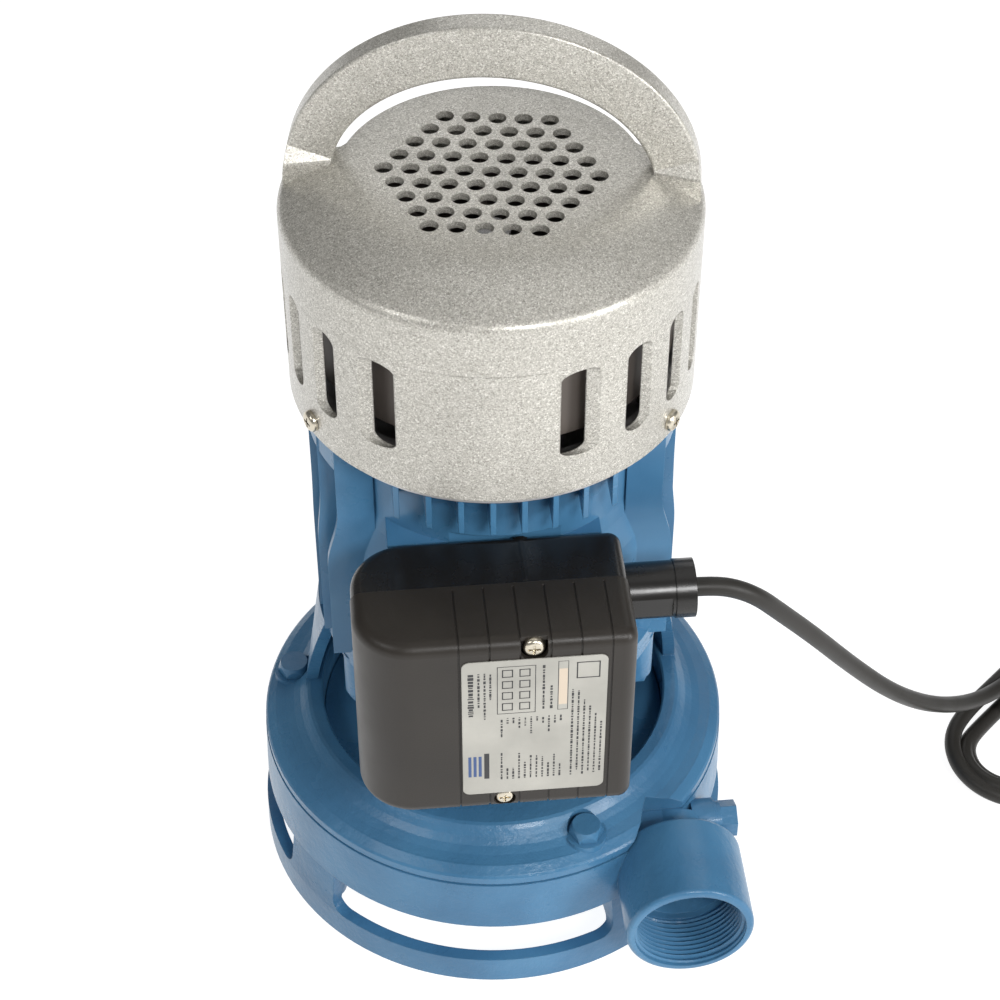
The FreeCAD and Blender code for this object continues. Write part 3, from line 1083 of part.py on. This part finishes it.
make_foot_ring()
make_casing()
make_priming_plug()
make_impeller()
make_seal()
make_bracket()
make_housing()
make_stator()
make_rotor()
make_bearing("lower", "lower_bearing_bore", "lower_bearing_radius", "motor_seat - lower_bearing_width",
             "lower_bearing_width", 9)
make_bearing("upper", "upper_bearing_bore", "upper_bearing_radius", "shield_level - upper_bearing_width",
             "upper_bearing_width", 8)
make_shield()
make_fan()
make_cover()
make_box()
make_box_contents()
make_gland()
make_cord()
check_and_write()
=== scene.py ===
"""The looks of a vertical centrifugal water pump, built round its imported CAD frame.

Lengths are metres, in the frame of the CAD: +Z up along the shaft, -Y to the front, and the origin where
the shaft's axis meets the floor.
"""
import json
import math
import random

import bmesh
import bpy
from mathutils import Matrix, Vector


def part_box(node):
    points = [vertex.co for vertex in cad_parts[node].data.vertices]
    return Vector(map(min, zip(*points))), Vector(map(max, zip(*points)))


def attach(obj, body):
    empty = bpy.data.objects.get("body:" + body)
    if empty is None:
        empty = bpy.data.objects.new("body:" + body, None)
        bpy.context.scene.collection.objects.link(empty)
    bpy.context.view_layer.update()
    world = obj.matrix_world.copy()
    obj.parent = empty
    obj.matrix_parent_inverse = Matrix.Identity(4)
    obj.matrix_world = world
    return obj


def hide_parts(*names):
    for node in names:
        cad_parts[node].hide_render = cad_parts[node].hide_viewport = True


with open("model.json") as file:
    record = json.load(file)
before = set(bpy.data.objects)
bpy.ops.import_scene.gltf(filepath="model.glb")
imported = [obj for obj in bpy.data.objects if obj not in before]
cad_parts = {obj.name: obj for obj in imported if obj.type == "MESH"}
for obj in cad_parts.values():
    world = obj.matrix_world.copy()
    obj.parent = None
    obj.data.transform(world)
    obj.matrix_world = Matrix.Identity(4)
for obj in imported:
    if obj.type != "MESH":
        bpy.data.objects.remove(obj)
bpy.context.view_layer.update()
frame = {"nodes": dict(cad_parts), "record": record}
nodes = frame["nodes"]
MM = 0.001


# --- camera ---------------------------------------------------------------------------------------

CAMERA_PLACE = Vector((-0.0626, -0.7208, 0.8762))
CAMERA_AIM = Vector((0.0661, 0.7231, -0.6876))
LENS = 85.86
SENSOR = 36.0


def make_camera():
    data = bpy.data.cameras.new("camera")
    data.lens = LENS
    data.sensor_width = SENSOR
    data.clip_start = 0.01
    data.clip_end = 20.0
    camera = bpy.data.objects.new("camera", data)
    camera.location = CAMERA_PLACE
    camera.rotation_mode = "QUATERNION"
    camera.rotation_quaternion = CAMERA_AIM.to_track_quat("-Z", "Y")
    bpy.context.scene.collection.objects.link(camera)
    bpy.context.scene.camera = camera


# --- node-tree helpers ----------------------------------------------------------------------------

class Shader:
    """A material with one Principled shader, and short calls for the textures that feed it."""

    def __init__(self, name, color, roughness, **sockets):
        self.material = bpy.data.materials.new(name)
        self.material.use_nodes = True
        self.tree = self.material.node_tree
        self.principled = self.tree.nodes["Principled BSDF"]
        self.set("Base Color", (*color, 1.0))
        self.set("Roughness", roughness)
        for socket, value in sockets.items():
            self.set(socket.replace("_", " "), value)
        self.place = self.tree.nodes.new("ShaderNodeTexCoord").outputs["Object"]
        self.normal = None

    def set(self, socket, value):
        self.principled.inputs[socket].default_value = value

    def link(self, output, target):
        self.tree.links.new(output, target)

    def feed(self, socket, output):
        self.link(output, self.principled.inputs[socket])

    def noise(self, scale, detail=4.0, rough=0.55, stretch=None):
        node = self.tree.nodes.new("ShaderNodeTexNoise")
        node.inputs["Scale"].default_value = scale
        node.inputs["Detail"].default_value = detail
        node.inputs["Roughness"].default_value = rough
        self.link(self.stretched(stretch) if stretch else self.place, node.inputs["Vector"])
        return node.outputs["Fac"]

    def stretched(self, factors):
        node = self.tree.nodes.new("ShaderNodeVectorMath")
        node.operation = "MULTIPLY"
        node.inputs[1].default_value = factors
        self.link(self.place, node.inputs[0])
        return node.outputs[0]

    def cells(self, scale):
        """One random grey for each small cell."""
        node = self.tree.nodes.new("ShaderNodeTexVoronoi")
        node.inputs["Scale"].default_value = scale
        self.link(self.place, node.inputs["Vector"])
        split = self.tree.nodes.new("ShaderNodeSeparateColor")
        self.link(node.outputs["Color"], split.inputs[0])
        return split.outputs[0]

    def ramp(self, fac, *stops):
        """A colour or grey ramp from (position, value) stops."""
        node = self.tree.nodes.new("ShaderNodeValToRGB")
        self.link(fac, node.inputs["Fac"])
        elements = node.color_ramp.elements
        while len(elements) < len(stops):
            elements.new(0.5)
        for element, (position, value) in zip(elements, stops):
            element.position = position
            element.color = (*value, 1.0) if hasattr(value, "__len__") else (value, value, value, 1.0)
        return node.outputs["Color"]

    def math(self, operation, first, second=0.0):
        node = self.tree.nodes.new("ShaderNodeMath")
        node.operation = operation
        for socket, value in zip(node.inputs, (first, second)):
            if hasattr(value, "is_linked"):
                self.link(value, socket)
            else:
                socket.default_value = value
        return node.outputs[0]

    def mix(self, fac, first, second, blend="MIX"):
        node = self.tree.nodes.new("ShaderNodeMix")
        node.data_type = "RGBA"
        node.blend_type = blend
        sockets = (node.inputs["Factor"], node.inputs[6], node.inputs[7])
        for socket, value in zip(sockets, (fac, first, second)):
            if hasattr(value, "is_linked"):
                self.link(value, socket)
            elif hasattr(value, "__len__"):
                socket.default_value = (*value, 1.0)
            else:
                socket.default_value = value
        return node.outputs[2]

    def axis(self, name):
        node = self.tree.nodes.new("ShaderNodeSeparateXYZ")
        self.link(self.place, node.inputs[0])
        return node.outputs[name]

    def bump(self, height, depth):
        """Relief of a depth in metres, on top of the relief so far."""
        node = self.tree.nodes.new("ShaderNodeBump")
        node.inputs["Distance"].default_value = depth
        node.inputs["Strength"].default_value = 1.0
        self.link(height, node.inputs["Height"])
        if self.normal is not None:
            self.link(self.normal, node.inputs["Normal"])
        self.normal = node.outputs["Normal"]
        self.feed("Normal", self.normal)

    def soften(self, radius):
        """Rounded-looking edges of a radius in metres."""
        node = self.tree.nodes.new("ShaderNodeBevel")
        node.samples = 4
        node.inputs["Radius"].default_value = radius
        self.normal = node.outputs["Normal"]
        self.feed("Normal", self.normal)


# --- materials ------------------------------------------------------------------------------------

BLUE = (0.064, 0.196, 0.352)
BLUE_DEEP = (0.044, 0.142, 0.268)
BLUE_PALE = (0.092, 0.248, 0.415)

# How far the edges of each kind of skin look rounded.
ENAMEL_EDGE = 0.0006
SILVER_EDGE = 0.0005
PLASTIC_EDGE = 0.0004
METAL_EDGE = 0.0003

# The fan cover's moulding line, a shallow groove: its level, half its width in millimetres, and its depth.
SEAM_LEVEL = 0.3262
SEAM_HALF_MM = 0.35
SEAM_DEPTH = 0.00012


def enamel(name, cast_depth, shade=1.0):
    """Glossy blue enamel brushed over a casting: its skin follows the sand grain underneath."""
    paint = Shader(name, BLUE, 0.27, Coat_Weight=0.12, Coat_Roughness=0.10, Specular_IOR_Level=0.32)
    paint.soften(ENAMEL_EDGE)
    # A shade below one darkens all three tones of the enamel: painted shade.
    deep, plain, pale = (tuple(shade * part for part in tone) for tone in (BLUE_DEEP, BLUE, BLUE_PALE))
    paint.feed("Base Color", paint.ramp(paint.noise(16.0, 3.0), (0.30, deep), (0.55, plain), (0.78, pale)))
    paint.feed("Roughness", paint.ramp(paint.noise(40.0, 4.0), (0.25, 0.22), (0.8, 0.42)))
    paint.bump(paint.noise(950.0, 2.0, 0.6), cast_depth * 0.55)
    paint.bump(paint.noise(420.0, 3.0, 0.6), cast_depth)
    paint.bump(paint.noise(110.0, 2.0), cast_depth * 2.2)
    return paint.material


def speckled_silver():
    """Silver hammer paint: bright and dark flakes a third to half a millimetre across."""
    paint = Shader("silver_speckle", (0.45, 0.43, 0.39), 0.36, Metallic=0.50, Specular_IOR_Level=0.5,
                   Coat_Weight=0.40, Coat_Roughness=0.22)
    paint.soften(SILVER_EDGE)
    fine = paint.cells(3400.0)
    coarse = paint.cells(1900.0)
    flakes = paint.math("ADD", paint.math("MULTIPLY", fine, 0.55), paint.math("MULTIPLY", coarse, 0.45))
    tone = paint.ramp(flakes, (0.10, (0.300, 0.285, 0.250)), (0.38, (0.500, 0.480, 0.430)),
                      (0.66, (0.610, 0.590, 0.535)), (0.92, (0.900, 0.880, 0.820)))
    cloud = paint.ramp(paint.noise(22.0, 3.0), (0.3, 0.90), (0.75, 1.0))
    paint.feed("Base Color", paint.mix(1.0, tone, cloud, "MULTIPLY"))
    paint.feed("Roughness", paint.ramp(fine, (0.1, 0.44), (0.9, 0.28)))
    level = paint.math("ABSOLUTE", paint.math("SUBTRACT", paint.axis("Z"), SEAM_LEVEL))
    seam = paint.ramp(paint.math("MULTIPLY", level, 1.0 / MM), (0.0, 0.0), (SEAM_HALF_MM, 1.0))
    paint.bump(seam, SEAM_DEPTH)
    paint.bump(flakes, 0.00006)
    paint.bump(paint.noise(260.0, 2.0), 0.00005)
    return paint.material


def plastic(name, color, roughness, grain=0.00003, scale=900.0, **sockets):
    skin = Shader(name, color, roughness, **sockets)
    skin.soften(PLASTIC_EDGE)
    tone = skin.ramp(skin.noise(35.0, 5.0), (0.25, tuple(0.82 * c for c in color)),
                     (0.8, tuple(1.18 * c for c in color)))
    skin.feed("Base Color", tone)
    skin.feed("Roughness", skin.ramp(skin.noise(70.0, 4.0),
                                     (0.2, 0.85 * roughness), (0.85, 1.2 * roughness)))
    skin.bump(skin.noise(scale, 2.0), grain)
    return skin.material


def metal(name, color, roughness, grain=0.00002, scale=700.0, stretch=None):
    skin = Shader(name, color, roughness, Metallic=1.0)
    skin.soften(METAL_EDGE)
    tone = skin.ramp(skin.noise(120.0, 5.0, 0.6, stretch), (0.25, tuple(0.78 * c for c in color)),
                     (0.8, tuple(min(1.0, 1.12 * c) for c in color)))
    skin.feed("Base Color", tone)
    skin.feed("Roughness", skin.ramp(skin.noise(90.0, 4.0),
                                     (0.2, 0.75 * roughness), (0.85, 1.35 * roughness)))
    skin.bump(skin.noise(scale, 3.0, 0.6, stretch), grain)
    return skin.material


def coat(material, *names):
    """Give CAD nodes a material in place of their plain one."""
    for name in names:
        slots = nodes[name].data.materials
        slots.clear()
        slots.append(material)


def make_materials():
    made = {
        "cast_blue": enamel("cast_blue", 0.00018),
        "fin_blue": enamel("fin_blue", 0.00005),
        # The seal plate, deep in the bracket, gets the blue enamel darkened by shade=0.9: painted shade.
        "shaded_blue": enamel("seat_painted_shade", 0.00016, shade=0.9),
        "silver": speckled_silver(),
        "box": plastic("box_plastic", (0.026, 0.022, 0.018), 0.38, 0.00004, 1400.0,
                       Specular_IOR_Level=0.36),
        "gloss": plastic("gloss_plastic", (0.0135, 0.0125, 0.0115), 0.26, 0.00002, 300.0),
        "zinc": metal("zinc", (0.72, 0.66, 0.54), 0.28),
        "steel": metal("ground_steel", (0.62, 0.62, 0.63), 0.25, stretch=(1, 1, 0.1)),
        "laminated": metal("laminated_steel", (0.30, 0.30, 0.31), 0.45, stretch=(1, 1, 12.0)),
        "aluminium": metal("cast_aluminium", (0.62, 0.62, 0.63), 0.42, 0.00008, 500.0),
        "bronze": metal("bronze", (0.62, 0.42, 0.17), 0.35, 0.00006, 500.0),
        "copper": plastic("varnished_copper", (0.45, 0.13, 0.04), 0.30, 0.00015, 260.0),
        "label": plastic("label_sheet", (0.42, 0.41, 0.37), 0.38, 0.00001, 1200.0),
        "cord": plastic("cord_sheath", (0.026, 0.024, 0.021), 0.44, 0.00003, 1500.0,
                        Specular_IOR_Level=0.34),
        "rubber": plastic("rubber", (0.016, 0.016, 0.016), 0.62, 0.00004, 1300.0),
        "fan": plastic("fan_plastic", (0.105, 0.088, 0.076), 0.50),
        "carbon": plastic("seal_carbon", (0.03, 0.03, 0.032), 0.25),
        "terminal": plastic("terminal_plastic", (0.55, 0.53, 0.46), 0.45),
    }
    coat(made["cast_blue"], "base_ring", "volute_casing", "motor_bracket", "bracket_bolts", "priming_plug",
         "casing_gasket", "plug_washer")
    coat(made["fin_blue"], "motor_housing", "motor_screws")
    coat(made["silver"], "fan_cover")
    coat(made["box"], "terminal_box_cover")
    coat(made["gloss"], "terminal_box_base", "cable_gland_body", "cable_gland_nut")
    coat(made["zinc"], "fan_cover_screws", "box_cover_screws", "box_mount_screws", "shield_screws",
         "terminal_screws", "base_ring_screws", "capacitor_clip")
    coat(made["steel"], "shaft", "lower_bearing_outer", "lower_bearing_inner", "lower_bearing_balls",
         "upper_bearing_outer", "upper_bearing_inner", "upper_bearing_balls", "seal_spring", "fan_clip",
         "impeller_nut")
    coat(made["laminated"], "stator_core", "rotor_core")
    coat(made["aluminium"], "rotor_cage", "upper_end_shield", "capacitor")
    coat(made["bronze"], "impeller", "plug_pins")
    coat(made["copper"], "stator_winding")
    coat(made["label"], "rating_plate")
    coat(made["cord"], "hank_tie", "mains_plug")
    coat(made["rubber"], "gland_seal", "terminal_box_gasket", "water_slinger")
    coat(made["fan"], "cooling_fan")
    coat(made["shaded_blue"], "seal_plate")
    coat(made["carbon"], "seal_rotary", "seal_seat")
    coat(made["terminal"], "terminal_block")
    return made


# --- supply cord ----------------------------------------------------------------------------------

# The cord's stretch from the gland down to the hank, as in the CAD source.
CORD_ROUTE = ((0.0735, -0.0700, 0.2035), (0.0825, -0.0700, 0.2035), (0.0920, -0.0700, 0.2005),
              (0.1010, -0.0690, 0.1938), (0.1100, -0.0655, 0.1820), (0.1280, -0.0575, 0.1575),
              (0.1500, -0.0450, 0.1235), (0.1740, -0.0290, 0.0870), (0.1970, -0.0125, 0.0575),
              (0.2190, 0.0045, 0.0350), (0.2380, 0.0200, 0.0210), (0.2560, 0.0360, 0.0135),
              (0.2720, 0.0505, 0.0105))
CORD_RADIUS = 0.00385
HANK_START = Vector((0.247, -0.004, 0.0))
HANK_TURN = math.radians(42.0)
HANK_LENGTH = 0.100
# Each turn of the hank: its bend's radius, and the level of its cord's middle.
HANK_TURNS = ((0.0292, 0.0052), (0.0285, 0.0128), (0.0205, 0.0062))
# Where the route's points lie along the hank's straight runs, as shares of its length.
RUN_OUT = (0.30, 0.75)
RUN_BACK = (0.70, 0.30)
BEND_STEPS = 6                  # along each half turn
# The lead from the hank up to the plug, in the hank's own directions.
PLUG_LEAD = ((0.106, -0.024, 0.008), (0.095, -0.034, 0.007), (0.082, -0.046, 0.010),
             (0.070, -0.0545, 0.016), (0.062, -0.056, 0.0185), (0.050, -0.056, 0.0185))


def on_hank(along, aside, level):
    """A point in the hank's own directions: along it, to its left, and up."""
    return HANK_START + Matrix.Rotation(HANK_TURN, 3, "Z") @ Vector((along, aside, level))


def straight_run(shares, aside, level):
    return [on_hank(HANK_LENGTH * share, aside, level) for share in shares]


def far_bend(radius, level, count):
    """The first points of a half turn round the hank's far end, clockwise."""
    angles = [math.pi * (0.5 - step / BEND_STEPS) for step in range(count)]
    return [on_hank(HANK_LENGTH + radius * math.cos(angle), radius * math.sin(angle), level)
            for angle in angles]


def near_bend(turn, after):
    """A half turn round the hank's near end, from one turn's radius and level to the next one's."""
    points = []
    for step in range(BEND_STEPS + 1):
        share = step / BEND_STEPS
        angle = -math.pi * (0.5 + share)
        radius, level = (first + (second - first) * share for first, second in zip(turn, after))
        points.append(on_hank(radius * math.cos(angle), radius * math.sin(angle), level))
    return points


def hank_turns():
    """The hank's wound turns: from its left run, clockwise round the far bend and then the near one."""
    points = []
    for number, turn in enumerate(HANK_TURNS):
        radius, level = turn
        if number > 0:
            points += straight_run(RUN_OUT, radius, level)
        points += far_bend(radius, level, BEND_STEPS + 1)
        points += straight_run(RUN_BACK, -radius, level)
        points += near_bend(turn, HANK_TURNS[min(number + 1, len(HANK_TURNS) - 1)])
    return points


def hank_end():
    """The last run and half turn, and the lead from the hank up to the plug."""
    radius, level = HANK_TURNS[-1]
    lead = [on_hank(*point) for point in PLUG_LEAD]
    return straight_run(RUN_OUT, radius, level) + far_bend(radius, level, BEND_STEPS) + lead


def make_cord(made):
    points = [Vector(point) for point in CORD_ROUTE] + hank_turns() + hank_end()
    data = bpy.data.curves.new("supply_cord", "CURVE")
    data.dimensions = "3D"
    data.bevel_depth = CORD_RADIUS
    data.bevel_resolution = 6
    data.resolution_u = 8
    spline = data.splines.new("NURBS")
    spline.points.add(len(points) - 1)
    for control, point in zip(spline.points, points):
        control.co = (*point, 1.0)
    spline.order_u = 3
    spline.use_endpoint_u = True
    data.materials.append(made["cord"])
    cord = bpy.data.objects.new("supply_cord", data)
    bpy.context.scene.collection.objects.link(cord)
    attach(cord, "pump")
    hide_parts("power_cable", "cable_hank", "plug_lead")


# --- small pieces ---------------------------------------------------------------------------------

def add_mesh(name, form, material):
    """A new piece on the pump from a filled bmesh, which it frees."""
    data = bpy.data.meshes.new(name)
    form.to_mesh(data)
    form.free()
    data.materials.append(material)
    item = bpy.data.objects.new(name, data)
    bpy.context.scene.collection.objects.link(item)
    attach(item, "pump")


THREAD_PITCH = 0.00231          # eleven threads to the inch
THREAD_DEPTH = 0.00148
THREAD_SINK = 0.00002           # how far the ridge's root goes into the bore's wall
# In pitches: where the helix starts, and half the ridge's width at its root and at its crest.
THREAD_START = 0.6
ROOT_HALF = 0.46
CREST_HALF = 0.07
THREAD_STEPS = 64               # around one turn
# The ridge grows from almost nothing at each end, over a fourteenth of the whole helix.
FADE_RATE = 14
FADE_LEAST = 0.05


def thread(name, mouth, inward, radius, length, material):
    """The ridges of an internal pipe thread: a helix of triangular section against the bore's wall."""
    side = inward.orthogonal().normalized()
    other = inward.cross(side)
    turns = length / THREAD_PITCH - 1.0
    steps = int(turns * THREAD_STEPS)
    root_half = inward * (ROOT_HALF * THREAD_PITCH)
    crest_half = inward * (CREST_HALF * THREAD_PITCH)
    form = bmesh.new()
    rings = []
    for step in range(steps + 1):
        share = step / steps
        angle = 2 * math.pi * turns * share
        fade = min(1.0, FADE_RATE * share + FADE_LEAST, FADE_RATE * (1 - share) + FADE_LEAST)
        middle = mouth + inward * (THREAD_PITCH * (THREAD_START + turns * share))
        out = side * math.cos(angle) + other * math.sin(angle)
        root = out * (radius + THREAD_SINK)
        crest = out * (radius - THREAD_DEPTH * fade)
        rings.append([form.verts.new(point) for point in
                      (middle + root - root_half, middle + crest - crest_half,
                       middle + crest + crest_half, middle + root + root_half)])
    for before, after in zip(rings, rings[1:]):
        for corner in range(4):
            follow = (corner + 1) % 4
            form.faces.new((before[corner], before[follow], after[follow], after[corner]))
    form.faces.new(rings[0])
    form.faces.new(reversed(rings[-1]))
    bmesh.ops.recalc_face_normals(form, faces=form.faces)
    add_mesh(name, form, material)


def make_threads(made):
    mounts = {mount["name"]: mount for mount in frame["record"]["mounts"]}
    for name in ("outlet_thread", "suction_thread"):
        mount = mounts[name]
        length = mount["dims"]["length_mm"] * MM
        out = Vector(mount["axis"])
        mouth = Vector(mount["pos_m"]) + out * (length / 2)
        thread(name, mouth, -out, mount["dims"]["r_mm"] * MM, length, made["cast_blue"])


# --- rating plate's print: plain blocks and dashes, standing for no words or marks ----------------

INK_RISE = 0.00003


class Print:
    """Blocks printed on the rating plate, whose lines run up it; across and up are in millimetres."""

    DASH = (0.5, 1.9)           # the lengths of a line's dashes
    GAP = (0.25, 0.75)
    HALF_HEIGHT = (0.30, 0.50)  # half a dash's height, as a share of the line's
    SHORTEST = 0.3              # a line ends when less than this is left of it

    def __init__(self):
        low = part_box("rating_plate")[0]
        self.left = low.x
        self.foot = low.z
        self.face = low.y - INK_RISE
        self.form = bmesh.new()

    def block(self, across, up):
        corners = [(across[0], up[0]), (across[1], up[0]), (across[1], up[1]), (across[0], up[1])]
        self.form.faces.new([self.form.verts.new((self.left + u * MM, self.face, self.foot + v * MM))
                             for u, v in corners])

    def outline(self, across, up, line):
        self.block(across, (up[0], up[0] + line))
        self.block(across, (up[1] - line, up[1]))
        self.block((across[0], across[0] + line), up)
        self.block((across[1] - line, across[1]), up)

    def line(self, middle, up, height, chance):
        """A line of short dashes with gaps, like small type seen from afar."""
        place = up[0]
        while place < up[1] - self.SHORTEST:
            dash = min(chance.uniform(*self.DASH), up[1] - place)
            half = height * chance.uniform(*self.HALF_HEIGHT)
            self.block((middle - half, middle + half), (place, place + dash))
            place += dash + chance.uniform(*self.GAP)

    def finish(self, name, material):
        for face in self.form.faces:
            if face.normal.y > 0:
                face.normal_flip()
        add_mesh(name, self.form, material)


def print_label():
    chance = random.Random(7)
    black = Shader("label_ink", (0.030, 0.030, 0.032), 0.45).material
    blue = Shader("label_blue", (0.045, 0.090, 0.230), 0.45).material
    cream = Shader("label_cream", (0.63, 0.53, 0.42), 0.5).material

    rows = Print()
    # A heading with smaller lines under it, and a bar below the badge.
    rows.line(3.4, (46, 70), 2.6, chance)
    for middle, up in ((6.4, (51, 70)), (8.7, (44, 70)), (10.9, (55, 70))):
        rows.line(middle, up, 1.0, chance)
    rows.block((8.4, 10.4), (9, 24))
    # Eleven lines of data, each with a name at its start and a value at its end.
    for number in range(11):
        middle = 15.2 + 2.28 * number
        rows.line(middle, (8, chance.uniform(13, 24)), 0.85, chance)
        rows.line(middle, (44 - chance.uniform(2, 11), 44), 0.85, chance)
    # Two lines under the frame of boxes.
    rows.line(31.2, (48, 73), 1.1, chance)
    rows.line(34.2, (48, 61), 1.1, chance)
    # A frame with two columns of four boxes.
    rows.outline((13.4, 28.2), (46.5, 73), 0.3)
    for column in (17.4, 24.0):
        for row in range(4):
            foot = 48.4 + 6.2 * row
            rows.outline((column - 2.1, column + 2.1), (foot, foot + 4.2), 0.45)
    # The patch's frame, the closing lines, and a square beside them.
    rows.outline((36.6, 40.6), (47, 74.2), 0.25)
    rows.line(42.4, (8, 58), 0.95, chance)
    for number in range(5):
        rows.line(44.7 + 2.25 * number, (8 + chance.uniform(0, 3), 57 - 4.5 * number), 0.85, chance)
    rows.outline((43.6, 52.6), (64, 73), 0.5)
    rows.finish("label_print", black)

    badge = Print()
    for number in range(3):
        badge.block((2.2 + 2.0 * number, 3.4 + 2.0 * number), (10.5, 22.5))
    badge.finish("label_badge", blue)

    patch = Print()
    patch.block((37.0, 40.2), (50, 70))
    patch.finish("label_patch", cream)


# --- stage ----------------------------------------------------------------------------------------

FLOOR_SIZE = 40.0
FLOOR_GREY = (0.30, 0.30, 0.30)
FLOOR_GLOW = 0.92
WORLD_GLOW = 0.18


def make_floor():
    """Paper whose own glow makes it almost white, so that only pale shadows lie on it."""
    bpy.ops.mesh.primitive_plane_add(size=FLOOR_SIZE, location=(0, 0, 0))
    floor = bpy.context.object
    floor.name = "floor"
    paper = Shader("floor_paper", FLOOR_GREY, 0.9, Emission_Color=(1, 1, 1, 1),
                   Emission_Strength=FLOOR_GLOW)
    floor.data.materials.append(paper.material)


def area_light(name, place, target, size, power):
    data = bpy.data.lights.new(name, "AREA")
    data.shape = "RECTANGLE"
    data.size, data.size_y = size
    data.energy = power
    light = bpy.data.objects.new(name, data)
    light.location = place
    light.rotation_mode = "QUATERNION"
    light.rotation_quaternion = (Vector(target) - Vector(place)).to_track_quat("-Z", "Y")
    bpy.context.scene.collection.objects.link(light)


def make_light():
    world = bpy.data.worlds.new("studio")
    world.use_nodes = True
    world.node_tree.nodes["Background"].inputs["Color"].default_value = (1, 1, 1, 1)
    world.node_tree.nodes["Background"].inputs["Strength"].default_value = WORLD_GLOW
    bpy.context.scene.world = world
    area_light("left_box", (-1.05, -0.75, 1.45), (0, 0, 0.2), (0.6, 0.5), 5.0)
    area_light("key_box", (0.35, -1.25, 1.22), (0, 0, 0.3), (0.35, 0.30), 11)
    area_light("right_box", (1.25, -1.00, 0.80), (0, 0, 0.2), (0.5, 0.7), 15)
    area_light("top_box", (0.30, 0.30, 2.0), (0, 0, 0.3), (1.4, 1.2), 3.0)
    area_light("back_box", (0.4, 1.5, 1.3), (0, 0, 0.3), (1.6, 0.9), 5.0)
    bpy.context.scene.view_settings.view_transform = "Standard"


make_camera()
materials = make_materials()
make_cord(materials)
make_threads(materials)
print_label()
make_floor()
make_light()

bpy.context.view_layer.update()
